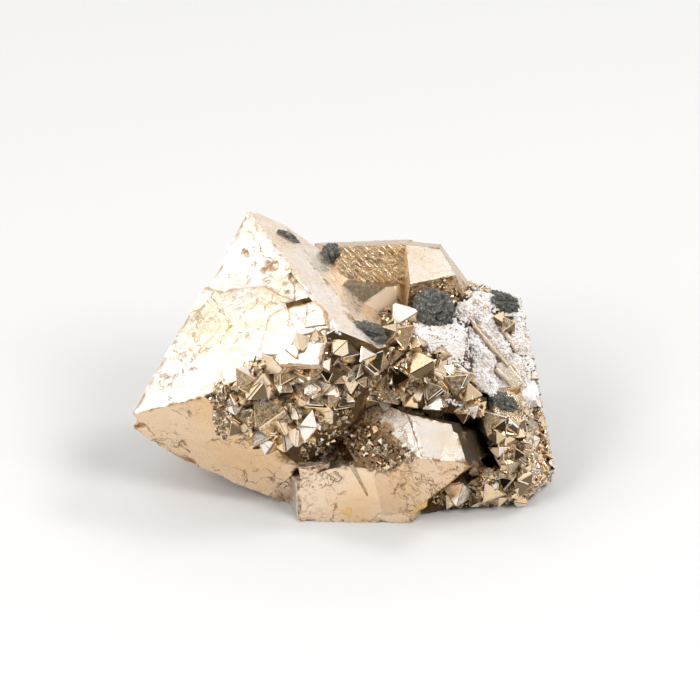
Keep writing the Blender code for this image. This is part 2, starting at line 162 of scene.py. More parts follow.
def room():
    """A white room, brightest up on the left, that darkens behind the viewer."""
    world = bpy.data.worlds.new("studio")
    bpy.context.scene.world = world
    world.use_nodes = True
    tree = world.node_tree
    sky = tree.nodes["Background"]
    place = tree.nodes.new("ShaderNodeTexCoord").outputs["Generated"]
    parts = tree.nodes.new("ShaderNodeSeparateXYZ")
    tree.links.new(place, parts.inputs[0])
    depth = ramp(tree, parts.outputs["Y"], -0.66, -0.28, 0.055, 1.0)
    aim = Vector(ROOM_BRIGHTEST).normalized()
    cloth = ramp(tree, vector_node(tree, "DOT_PRODUCT", place, aim, "Value"), 0.55, 0.95, 0.92, 1.20)
    tree.links.new(math_node(tree, "MULTIPLY", depth, cloth), sky.inputs["Strength"])
    tree.links.new(colour_mix(tree, depth, ROOM_DARK, ROOM_PALE), sky.inputs["Color"])


def softbox(name, place, size, power, colour=(1.0, 0.99, 0.97), mirrored=True):
    """A lamp behind a square white cloth, turned to the specimen, which may mirror it or not."""
    lamp = bpy.data.lights.new(name, "AREA")
    lamp.shape = "SQUARE"
    lamp.size = size
    lamp.energy = power
    lamp.color = colour
    made = add_object(name, lamp)
    made.location = place
    made.rotation_euler = (SPECIMEN - Vector(place)).to_track_quat("-Z", "Y").to_euler()
    made.visible_glossy = mirrored


def camera():
    """A long lens that looks square at the display plane."""
    lens = bpy.data.cameras.new("camera")
    lens.sensor_width = 36.0
    lens.lens = lens.sensor_width * VIEW_DISTANCE / VIEW_WIDTH
    lens.clip_end = 20.0
    made = add_object("camera", lens)
    out = DISPLAY.to_3x3() @ Vector((0, 0, 1))
    made.location = (DISPLAY @ Vector((0, 0, 0))) * MM + out * VIEW_DISTANCE
    made.rotation_euler = (math.radians(90.0) - LEAN, 0, 0)
    bpy.context.scene.camera = made


table_top()
room()
softbox("left_softbox", (-1.30, 0.10, 1.25), 0.45, 4.5)
softbox("right_softbox", (1.20, 0.40, 1.56), 0.50, 15.0)
softbox("right_fill", (0.78, -0.70, 0.95), 0.60, 14.5, mirrored=False)
softbox("left_fill", (-0.80, -0.82, 0.90), 0.60, 15.0, (1.0, 0.96, 0.93), mirrored=False)
for number, (place, size) in enumerate(CARDS):
    softbox(f"card_{number}", place, size, CARD_GLOW * size * size, (1.0, 0.93, 0.83))
camera()
bpy.context.scene.view_settings.view_transform = "Standard"


# ---------------------------------------------------------------- pyrite finish
# Polished metal of a pale brassy gold. Fine brown cracks run through it, its broad faces are not quite
# flat, and iron stain has gathered in its pits and along its chips and edges; on the small crystals the
# same colour is painted shade, darker where a spot is shut in by its neighbours.

def noise_node(tree, place, scale, detail=4.0, roughness=0.5, out="Fac"):
    """A Noise texture at a place; returns its result."""
    made = tree.nodes.new("ShaderNodeTexNoise")
    tree.links.new(place, made.inputs["Vector"])
    made.inputs["Scale"].default_value = scale
    made.inputs["Detail"].default_value = detail
    made.inputs["Roughness"].default_value = roughness
    return made.outputs[out]


def attribute(tree, name):
    """A value that the mesh holds for each of its points or faces."""
    made = tree.nodes.new("ShaderNodeAttribute")
    made.attribute_name = name
    return made.outputs["Fac"]


def bump(tree, shader, height, distance):
    """Lays small relief of some depth on a surface."""
    made = tree.nodes.new("ShaderNodeBump")
    made.inputs["Distance"].default_value = distance
    tree.links.new(height, made.inputs["Height"])
    tree.links.new(made.outputs["Normal"], shader.inputs["Normal"])


CRACK_WARP = 0.0075      # how far the cells' borders wander, in metres


def crack_group():
    """Hairline cracks: the borders of warped cells, faded in and out by a broad noise."""
    tree = bpy.data.node_groups.new("hairline_cracks", "ShaderNodeTree")
    tree.interface.new_socket(name="Vector", in_out="INPUT", socket_type="NodeSocketVector")
    for key in ("Cells", "Width", "Share"):
        tree.interface.new_socket(name=key, in_out="INPUT", socket_type="NodeSocketFloat")
    tree.interface.new_socket(name="Mask", in_out="OUTPUT", socket_type="NodeSocketFloat")
    given = tree.nodes.new("NodeGroupInput").outputs
    place = given["Vector"]
    warp = noise_node(tree, place, 260.0, 5.0, 0.62, "Color")
    push = vector_node(tree, "SUBTRACT", warp, (0.5, 0.5, 0.5))
    push = vector_node(tree, "MULTIPLY", push, (CRACK_WARP, CRACK_WARP, CRACK_WARP))
    cells = tree.nodes.new("ShaderNodeTexVoronoi")
    cells.feature = "DISTANCE_TO_EDGE"
    tree.links.new(vector_node(tree, "ADD", place, push), cells.inputs["Vector"])
    tree.links.new(given["Cells"], cells.inputs["Scale"])
    near = math_node(tree, "DIVIDE", cells.outputs["Distance"], given["Width"])
    line = math_node(tree, "SUBTRACT", 1.0, near, clamp=True)
    above = math_node(tree, "SUBTRACT", given["Share"], noise_node(tree, place, 110.0, 3.0, 0.6))
    seen = math_node(tree, "MULTIPLY", above, 7.0, clamp=True)
    breaks = ramp(tree, noise_node(tree, place, 700.0, 3.0, 0.6), 0.38, 0.52)
    line = math_node(tree, "MULTIPLY", line, breaks)
    mask = tree.nodes.new("NodeGroupOutput").inputs["Mask"]
    tree.links.new(math_node(tree, "MULTIPLY", line, seen), mask)
    return tree


CRACKS = crack_group()


def use_cracks(tree, place, cells, width, share):
    """Places the cracks group with its own values; returns its mask."""
    made = tree.nodes.new("ShaderNodeGroup")
    made.node_tree = CRACKS
    for key, value in (("Vector", place), ("Cells", cells), ("Width", width), ("Share", share)):
        feed(tree, made.inputs[key], value)
    return made.outputs["Mask"]


STAIN = (0.20, 0.105, 0.035)
RUST = (0.60, 0.36, 0.11)
CRACK_BROWN = (0.12, 0.065, 0.03)
CRACK_GOLD = (0.38, 0.20, 0.08)
RECESS_BROWN = (0.26, 0.145, 0.055)
# near-black painted shade between small crystals that are shut in; on the dark matrix it darkens chipped
# edges
RECESS_BLACK = (0.085, 0.050, 0.022)
DULL_PALE = (0.70, 0.57, 0.43)
DULL_DARK = (0.27, 0.19, 0.115)
TARNISH = (0.13, 0.088, 0.050)
CLEAR_PALE = (0.98, 0.91, 0.81)
WARMER = (0.98, 0.89, 0.74)      # what a warmer patch keeps of each part of the colour
PYRITE_RELIEF = 0.00025


def pyrite(name, colour, roughness, cracked, stained, ripple, grain, facets=0.0, streak=None,
           cracks_in=CRACK_BROWN, recess=RECESS_BROWN, polish=1.0, shelter=0.0):
    """A pyrite finish: how cracked, stained, rippled and grainy it is, how much its facets differ
    from each other, and which way fine growth lines run over it."""
    finish, tree, shader = new_finish(name)
    place = tree.nodes.new("ShaderNodeTexCoord").outputs["Object"]

    def plus(first, second, clamp=False):
        return math_node(tree, "ADD", first, second, clamp)

    def less(first, second, clamp=False):
        return math_node(tree, "SUBTRACT", first, second, clamp)

    def times(first, second, clamp=False):
        return math_node(tree, "MULTIPLY", first, second, clamp)

    def mix(share, first, second):
        return colour_mix(tree, share, first, second)

    wide = use_cracks(tree, place, 130.0, 0.016 + 0.010 * cracked, 0.34 + 0.30 * cracked)
    fine = use_cracks(tree, place, 480.0, 0.035 + 0.030 * cracked, 0.26 + 0.30 * cracked)
    crack = math_node(tree, "MAXIMUM", wide, times(fine, 0.55))
    patchy = ramp(tree, noise_node(tree, place, 800.0, 6.0, 0.65), 0.30, 0.62, 0.35, 1.25)
    # the stain and shade mask: iron stain in pits, chips and edge lines, and painted shade on small
    # crystals by how shut in they are
    stain_and_shade = times(ramp(tree, attribute(tree, "stain_and_shade"), shelter, 1.0), patchy, clamp=True)

    lot = times(attribute(tree, "facet"), facets)
    mottle = noise_node(tree, place, 1300.0, 6.0, 0.65)
    dull = ramp(tree, plus(lot, times(mottle, 0.35)), 0.84, 1.10)
    black = times(ramp(tree, lot, 0.17, 0.12), facets)
    clear = times(ramp(tree, math_node(tree, "FRACT", times(lot, 13.0)), 0.70, 0.72), facets)

    tint = noise_node(tree, place, 70.0, 3.0, 0.5)
    turn = times(math_node(tree, "FRACT", times(lot, 7.0)), 0.35)
    warm = tuple(part * share for part, share in zip(colour, WARMER))
    plain = mix(ramp(tree, plus(tint, turn), 0.38, 0.68), colour, warm)
    plain = mix(clear, plain, CLEAR_PALE)
    grey = mix(ramp(tree, mottle, 0.35, 0.65), DULL_PALE, DULL_DARK)
    plain = mix(times(dull, 0.85), plain, grey)
    plain = mix(times(black, 0.9), plain, TARNISH)

    blotch = plus(noise_node(tree, place, 190.0, 8.0, 0.68), times(lot, 0.10))
    stain_and_shade_mask = ramp(tree, blotch, 0.74 - 0.30 * stained, 0.90 - 0.30 * stained, 0.0, 0.75)
    rusty = ramp(tree, noise_node(tree, place, 150.0, 3.0, 0.5), 0.46, 0.60)
    stained_and_shaded = mix(stain_and_shade, mix(stain_and_shade_mask, plain, mix(rusty, STAIN, RUST)), recess)
    stain_and_shade_mask = math_node(tree, "MAXIMUM", stain_and_shade_mask, stain_and_shade)
    tree.links.new(mix(crack, stained_and_shaded, cracks_in), shader.inputs["Base Color"])

    metal = less(less(1.0, times(crack, 0.75)), times(stain_and_shade_mask, 0.35), clamp=True)
    tree.links.new(times(metal, polish), shader.inputs["Metallic"])

    fuzz = noise_node(tree, place, 900.0, 5.0, 0.6)
    rough = ramp(tree, fuzz, 0.3, 0.7, roughness * 0.7, roughness * 1.4)
    rough = plus(plus(rough, times(stain_and_shade_mask, 0.35)), times(dull, 0.16))
    tree.links.new(plus(rough, times(crack, 0.5), clamp=True), shader.inputs["Roughness"])

    ripples = noise_node(tree, place, 330.0, 6.0, 0.6)
    if streak:
        turned = tree.nodes.new("ShaderNodeMapping")
        turned.vector_type = "TEXTURE"
        turned.inputs["Rotation"].default_value = streak
        turned.inputs["Scale"].default_value = (6.0, 1.0, 1.0)
        tree.links.new(place, turned.inputs["Vector"])
        ripples = plus(ripples, times(noise_node(tree, turned.outputs[0], 1500.0, 3.0, 0.55), 0.8))
    grains = noise_node(tree, place, 2600.0, 4.0, 0.7)
    height = plus(times(ripples, ripple), times(grains, grain))
    height = plus(height, times(times(mottle, dull), 0.8))
    height = less(less(height, times(crack, 0.5)), times(stain_and_shade_mask, 0.15))
    bump(tree, shader, height, PYRITE_RELIEF)
    return finish


# Each finish: name, colour, roughness, then how cracked, stained, rippled and grainy it is.
# BRIGHT, TAN, PALE and STAINED are copies of one pyrite in lighter and darker colours, given to faces by
# the way they look: painted light, paler where a face mirrors the lamps and tan where it mirrors the
# table.
BRIGHT_COLOUR = (0.765, 0.69, 0.612)
BRIGHT_MARKS = {"cracks_in": CRACK_GOLD, "recess": (0.46, 0.26, 0.12)}
BRIGHT = pyrite("bright_pyrite", BRIGHT_COLOUR, 0.20, 0.72, 0.38, 0.25, 0.08, **BRIGHT_MARKS)
STEPPED = pyrite("stepped_pyrite", BRIGHT_COLOUR, 0.20, 0.20, 0.38, 0.25, 0.08, **BRIGHT_MARKS)
TAN = pyrite("tan_pyrite", (0.82, 0.625, 0.44), 0.22, 0.85, 0.36, 0.35, 0.12)
PALE = pyrite(
    "pale_pyrite", (0.94, 0.845, 0.76), 0.30, 0.25, 0.20, 0.15, 0.35, streak=(0.0, 0.6, -0.8))
GOLD = pyrite(
    "scratched_pyrite", (0.70, 0.52, 0.33), 0.18, 0.66, 0.60, 1.9, 0.30, streak=(0.3, 0.5, -0.6))
SPECKLED = pyrite("speckled_pyrite", (0.70, 0.55, 0.40), 0.22, 0.60, 0.60, 1.3, 0.9)
# two copies for the notch's faces: a dark one for the dark block that its near face mirrors, and a pale,
# hardly metallic one for the lit table that its lower face would mirror: painted reflections
PAINTED_DARK = pyrite("painted_dark_pyrite", (0.34, 0.29, 0.22), 0.25, 0.30, 0.40, 0.8, 0.9)
PAINTED_PALE = pyrite("painted_pale_pyrite", (1.0, 0.89, 0.79), 0.40, 0.30, 0.25, 0.2, 0.4, polish=0.25)
CLEAN = pyrite(
    "clean_pyrite", (0.92, 0.77, 0.59), 0.07, 0.30, 0.12, 0.10, 0.06, 1.0, shelter=0.35,
    recess=RECESS_BLACK)
# the dark matrix: tarnish, kept this dark partly as painted shade in the gaps between crystals and on the
# large crystal's hollow and crevice faces
DARK = pyrite("dark_matrix", TARNISH, 0.34, 0.40, 0.80, 1.2, 1.0, recess=RECESS_BLACK)
# near-black painted shade for the cavity's walls and the front crystal's face into it
PAINTED_SHADE_WALL = pyrite("painted_shade_wall", (0.040, 0.026, 0.014), 0.50, 0.20, 0.60, 1.2, 1.0, polish=0.3)
RUSTED = pyrite("rust_spot", (0.84, 0.58, 0.27), 0.34, 0.30, 0.60, 0.5, 0.5, polish=0.7)
STAINED = pyrite("stained_pyrite", (0.92, 0.72, 0.53), 0.22, 0.95, 0.52, 0.40, 0.12)


# ---------------------------------------------------------------- large octahedron
# The largest crystal: an octahedron with three tips up, left and towards the viewer, and a
# parallel twin that shows along its lower edge. Its near corner is hollowed, its faces carry
# low growth plates, a step and a slot, and its edges are a little chipped.

GIANT_AT = (-12.5, -5.7, -14.4)
GIANT_REACH = 35.2
GIANT_UP = (-0.231, 0.973, -0.017)
GIANT_LEFT = (-0.888, -0.205, 0.411)
GIANT_BLUNT = 0.985        # how much of its reach each tip keeps
UNDER_AT = (-14.6, -8.75, -16.2)
UNDER_REACH = 33.0
UNDER_INSET = 0.4
GIANT_CUTS = [
    ((-27.0, -10.0, 5.4), (0.03, -0.44, 0.90)),      # hollow that the left druse lines
    ((-1.0, -16.0, 0.0), (0.64, -0.77, 0.05)),       # crevice beside the lower crystal
    ((-16.0, -29.6, -8.0), (-0.36, -0.90, -0.10)),   # broken under its near edge
]
TO_DISPLAY = DISPLAY.inverted()


def cut_flat(bm, point, looks):
    """Takes away all that lies beyond a plane, and closes the cut with one flat face. Returns
    whether anything was cut."""
    cut = bmesh.ops.bisect_plane(
        bm, geom=bm.verts[:] + bm.edges[:] + bm.faces[:],
        plane_co=Vector(point), plane_no=Vector(looks).normalized(), clear_outer=True)
    rim = [e for e in cut["geom_cut"] if isinstance(e, bmesh.types.BMEdge)]
    if rim:
        bmesh.ops.edgeloop_fill(bm, edges=rim)
    return bool(rim)


def stand(bm):
    """Cuts a form off at the flat base, and returns whether it reached below it."""
    return cut_flat(bm, TO_DISPLAY @ Vector((0, 0, 0)), TO_DISPLAY.to_3x3() @ Vector((0, 0, -1)))


def sharp_octahedron(reach):
    """An octahedron at the origin, with sharp tips."""
    bm = bmesh.new()
    bmesh.ops.create_uvsphere(bm, u_segments=4, v_segments=2, radius=reach)
    return bm


def cut_tips(bm, reach, share):
    """Cuts an octahedron's tips square at a share of their reach."""
    for axis in range(3):
        for sign in (-1, 1):
            looks = Vector((0, 0, 0))
            looks[axis] = sign
            cut_flat(bm, looks * reach * share, looks)


def octahedron(at, reach, turn, blunt):
    """A large octahedron with its tips cut square."""
    bm = sharp_octahedron(reach)
    cut_tips(bm, reach, blunt)
    bmesh.ops.transform(bm, matrix=Matrix.Translation(at) @ turn, verts=bm.verts)
    return bm


def giant_turn():
    """How the large octahedron is turned."""
    up = Vector(GIANT_UP).normalized()
    out = up.cross(Vector(GIANT_LEFT)).normalized()
    return Matrix((up, out.cross(up), out)).transposed().to_4x4()


def giant(at, reach, inset=0.0):
    """The large octahedron or its twin, with the hollow and broken places cut away."""
    bm = octahedron(at, reach, giant_turn(), GIANT_BLUNT)
    for point, looks in GIANT_CUTS:
        cut_flat(bm, Vector(point) - Vector(looks) * inset, looks)
    stand(bm)
    return bm


SAME_WAY = 0.99          # two faces look the same way when their directions agree this far
MOST_SPLITS = 9
CALM_MARGIN = 1.5        # how near an edge the broad waves of a face die out
ROUGH_MARGIN = 0.8       # how near an edge a rough face turns smooth
LAYER_WIDTH = 2.6
MOST_LAYERS = 3
RIM_WIDTH = 0.35         # how wide the dark line along an edge is


def refine(bm, grain, looks=None):
    """Splits edges longer than a grain, all over or only on the faces that look one way."""
    for _ in range(MOST_SPLITS):
        bmesh.ops.triangulate(bm, faces=[f for f in bm.faces if len(f.verts) > 3])
        bm.normal_update()
        faces = [f for f in bm.faces if looks is None or f.normal.dot(looks) > SAME_WAY]
        long_edges = list({e for f in faces for e in f.edges if e.calc_length() > grain})
        if not long_edges:
            return
        bmesh.ops.subdivide_edges(bm, edges=long_edges, cuts=1)


def weather(bm, grain, wave, chip, seed, layers=0.0, rough=(), dents=(), sides=(), rim=0.0):
    """Splits flat faces finely and makes them uneven: broad waves, growth layers along the edges, chips
    off the edges, rough faces and dents. Gives each face the finish listed for the way it looks; where
    these are lighter and darker copies of one pyrite, that is painted light and shade."""
    bmesh.ops.recalc_face_normals(bm, faces=bm.faces)
    planes = [(f.normal.copy(), f.normal.dot(f.calc_center_median())) for f in bm.faces]
    refine(bm, grain)
    rough = [(Vector(looks).normalized(), fine, depth) for looks, fine, depth in rough]
    for looks, fine, _ in rough:
        refine(bm, fine, looks)
    if sides:
        sides = [Vector(looks).normalized() for looks in sides]
        for face in bm.faces:
            face.material_index = max(range(len(sides)), key=lambda i: face.normal.dot(sides[i]))
    shift = Vector((seed, -1.7 * seed, 2.9 * seed))
    stain_and_shade = bm.verts.layers.float.new("stain_and_shade")
    for vert in bm.verts:
        spot = vert.co + shift
        (_, own), (near, other) = sorted(
            ((d - n.dot(vert.co), n) for n, d in planes), key=lambda pair: pair[0])[:2]
        broad = wave * (noise.noise(spot * 0.16) + 0.45 * noise.noise(spot * 0.55))
        uneven = broad * min(1.0, near / CALM_MARGIN)
        if layers:
            layer = math.floor((near + 1.6 * noise.noise(spot * 0.22)) / LAYER_WIDTH)
            uneven += layers * max(0, min(layer, MOST_LAYERS))
        for looks, _, depth in rough:
            if own.dot(looks) > SAME_WAY:
                ridges = noise.turbulence(spot * 0.8, 4, True, amplitude_scale=0.6)
                uneven += depth * (ridges - 0.9) * min(1.0, near / ROUGH_MARGIN)
        for (u, v), reach, depth in dents:
            away = math.hypot(vert.co.x - u, vert.co.y - v) / reach
            away = max(0.0, away + 0.7 * noise.noise(spot * 1.7))
            if away < 1.0 and own.z > 0.2:
                uneven -= depth * (1.0 - away * away) ** 2
                vert[stain_and_shade] = max(vert[stain_and_shade], 1.2 * (1.0 - away))
        worn = max(0.0, noise.noise(spot * 0.35) + 0.6 * noise.noise(spot * 1.3) + 0.12)
        bite = chip * worn * max(0.0, 1.0 - near / (0.4 + 1.3 * chip)) ** 1.5
        chipped = min(1.0, 1.8 * bite / max(chip, 0.1))
        vert[stain_and_shade] = max(vert[stain_and_shade], chipped, rim * max(0.0, 1.0 - near / RIM_WIDTH))
        vert.co += own * uneven - (own + other).normalized() * bite


def into_frame(bm):
    """Moves a form from the display plane's millimetres into the specimen's own frame."""
    bmesh.ops.transform(bm, matrix=Matrix.Scale(MM, 4) @ DISPLAY, verts=bm.verts)
    bmesh.ops.recalc_face_normals(bm, faces=bm.faces)


def place_piece(name, bm, finishes, smooth_below=None):
    """Lays a form into the specimen's frame as a piece that rides on it."""
    into_frame(bm)
    made = add_object(name, mesh_of(name, bm, finishes))
    if smooth_below:
        made.data.shade_smooth()
        made.data.set_sharp_from_angle(angle=math.radians(smooth_below))
    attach(made, "root")
    return made


def joined(forms):
    """One bmesh that holds all of some forms."""
    whole = bmesh.new()
    whole.verts.layers.float.new("stain_and_shade")
    for form in forms:
        mesh = mesh_of("part", form)
        whole.from_mesh(mesh)
        bpy.data.meshes.remove(mesh)
    return whole


def block(at, half, faces):
    """A block cut out of a cube by flat faces."""
    bm = bmesh.new()
    bmesh.ops.create_cube(bm, size=2 * half, matrix=Matrix.Translation(at))
    for point, looks in faces:
        cut_flat(bm, point, looks)
    return bm


TOP_FACE = (-0.417, 0.507, 0.753)       # the large bright face of the octahedron
LOW_FACE = (-0.151, -0.617, 0.773)      # the tan face under its near edge
APEX_FACE = (0.608, 0.744, 0.279)       # the pale face behind its upper edge
GIANT_PITS = [     # where each shows, reach, depth
    ((-21.4, 20.2), 0.9, 0.4),
    ((-16.2, 17.6), 1.5, 0.35),
    ((-17.6, 16.8), 0.8, 0.25),
    ((-14.8, 18.2), 0.8, 0.2),
    ((-11.8, 15.6), 0.7, 0.6),
    ((-10.8, 14.0), 0.6, 0.5),
    ((-12.6, 12.4), 0.5, 0.4),
]
SHOULDER = [(-31.0, 13.2), (-26.5, 12.2), (-17.0, 13.0), (-11.0, 9.8)]   # the upper part steps back
SHOULDER_DEPTH = 0.9
PLATES = [   # raised growth plates on the large face: height, outline
    (0.30, [
        (-12.9, 8.4), (-18.8, 5.5), (-19.2, 4.2), (-17.8, 0.2), (-18.6, -3.0), (-6.0, -3.0),
        (-4.0, 6.0)]),
    (0.62, [(-12.3, 7.9), (-11.0, 8.5), (-6.6, 9.5), (-4.6, 7.6), (-4.0, 4.0), (-9.9, 2.5), (-11.6, 5.6)]),
    (0.95, [(-8.3, 8.9), (-6.6, 9.3), (-4.8, 7.4), (-4.4, 4.6), (-8.6, 4.0)]),
]
SHELF_AT = (-10.9, -4.05, -14.0)     # a parallel growth behind the apex
SHELF_REACH = 34.2
SHELF_LEAN = 0.3                     # how far its near side leans over to the large face
SHELF_THICK = 2.2
PLATE_HALF = 20.0
PLATE_ROOT = 1.5                     # how deep a plate is sunk in the crystal that it lies on
SMOOTH_BELOW = 25                    # edges that turn by more degrees than this stay sharp
SLOT = ((-9.5, 9.6), 15.0, 6.6, 1.15, 2.0)   # middle, tilt in degrees, length, width, depth


def face_middle(at, reach, looks):
    """The middle of the face of an octahedron that looks one way."""
    return Vector(at) + Vector(looks).normalized() * reach / math.sqrt(3)


def on_plane(u, v, point, face):
    """The spot on a plane through a point that shows at (u, v)."""
    return Vector((u, v, (point.dot(face) - face.x * u - face.y * v) / face.z))


def step_back(bm, centre, line, depth):
    """Draws the part above a line in towards the crystal's centre, as an earlier growth stage."""
    stain_and_shade = bm.verts.layers.float["stain_and_shade"]
    for vert in bm.verts:
        u, v = vert.co.x, vert.co.y
        for (u0, v0), (u1, v1) in zip(line, line[1:]):
            if u0 <= u <= u1:
                height = v - (v0 + (v1 - v0) * (u - u0) / (u1 - u0)) + 0.5 * noise.noise(vert.co * 0.6)
                share = min(1.0, max(0.0, 0.5 + height / 0.9))
                fade = min(1.0, max(0.0, (26.0 - v) / 10.0))
                vert.co -= (vert.co - centre).normalized() * depth * share * fade
                vert[stain_and_shade] = max(vert[stain_and_shade], 0.55 * max(0.0, 1.0 - abs(height) / 0.9))
                break


def plate(height, outline, face, point):
    """A low plate with a straight-sided outline, raised over a flat face."""
    face = Vector(face).normalized()
    corners = [on_plane(u, v, Vector(point), face) for u, v in outline]
    middle = sum(corners, Vector()) / len(corners)
    faces = [(middle + face * height, face), (middle - face * PLATE_ROOT, -face)]
    for start, end in zip(corners, corners[1:] + corners[:1]):
        side = (end - start).cross(face)
        faces.append((start, side if side.dot(start - middle) > 0 else -side))
    return block(middle, PLATE_HALF, faces)


def slot_cutter():
    """The shape of the narrow slot beside the raised plates."""
    (u, v), tilt, length, width, depth = SLOT
    bm = bmesh.new()
    bmesh.ops.create_cube(bm, size=1.0)
    at = Matrix.Translation(on_plane(u, v, ON_TOP, Vector(TOP_FACE).normalized()))
    turn = Matrix.Rotation(math.radians(tilt), 4, "Z")
    sizes = Matrix.Diagonal((length, width, 2 * depth, 1.0))
    bmesh.ops.transform(bm, matrix=at @ (turn @ sizes), verts=bm.verts)
    return bm


def cut_out(piece, cutter, finish):
    """Takes a shape out of a piece for good, and gives the walls that it leaves one finish."""
    into_frame(cutter)
    piece.data.materials.append(finish)
    for face in cutter.faces:
        face.material_index = len(piece.data.materials) - 1
    tool = add_object("cutter", mesh_of("cutter", cutter, piece.data.materials))
    taken = piece.modifiers.new("cut", "BOOLEAN")
    taken.operation = "DIFFERENCE"
    taken.object = tool
    taken.solver = "EXACT"
    shape = bpy.data.meshes.new_from_object(piece.evaluated_get(bpy.context.evaluated_depsgraph_get()))
    piece.modifiers.clear()
    piece.data = shape
    bpy.data.objects.remove(tool)


ON_TOP = face_middle(GIANT_AT, GIANT_REACH, TOP_FACE)
# Each face of the large crystal takes a lighter or darker copy of the pyrite by the way it looks: painted
# light.
GIANT_SIDES = (TOP_FACE, LOW_FACE, APEX_FACE, GIANT_CUTS[0][1], GIANT_CUTS[1][1])
GIANT_FINISHES = (BRIGHT, TAN, PALE, DARK, DARK)
large = giant(GIANT_AT, GIANT_REACH)
weather(large, 0.60, 0.10, 0.45, 3.0, 0.035, dents=GIANT_PITS, sides=GIANT_SIDES)
step_back(large, Vector(GIANT_AT), SHOULDER, SHOULDER_DEPTH)
large_piece = place_piece("large_octahedron", large, GIANT_FINISHES, SMOOTH_BELOW)
cut_out(large_piece, slot_cutter(), GOLD)

twin = giant(UNDER_AT, UNDER_REACH, UNDER_INSET)
weather(twin, 0.9, 0.10, 0.9, 5.0, sides=GIANT_SIDES)
place_piece("lower_twin", twin, GIANT_FINISHES, SMOOTH_BELOW)

shelf = giant(SHELF_AT, SHELF_REACH)
inner = face_middle(SHELF_AT, SHELF_REACH, APEX_FACE) - Vector(APEX_FACE).normalized() * SHELF_THICK
cut_flat(shelf, inner, -Vector(APEX_FACE))
tip = Vector(GIANT_AT) + Vector(GIANT_UP) * GIANT_REACH
cut_flat(shelf, tip, Vector(APEX_FACE) + SHELF_LEAN * Vector(TOP_FACE))
weather(shelf, 0.6, 0.08, 0.2, 6.0, sides=GIANT_SIDES)
place_piece("apex_shelf", shelf, GIANT_FINISHES, SMOOTH_BELOW)

raised_plates = [plate(height, outline, TOP_FACE, ON_TOP) for height, outline in PLATES]
for step, form in enumerate(raised_plates):
    weather(form, 0.35, 0.05, 0.25, 7.0 + step, rim=0.9)
place_piece("growth_plates", joined(raised_plates), (STEPPED,), SMOOTH_BELOW)


# ---------------------------------------------------------------- massive pyrite and blocks
# The large blocks that stand round the octahedron, each bounded by flat growth faces or broken
# faces: the matrix behind, the two crystals in front, and the block and pale crystal above.

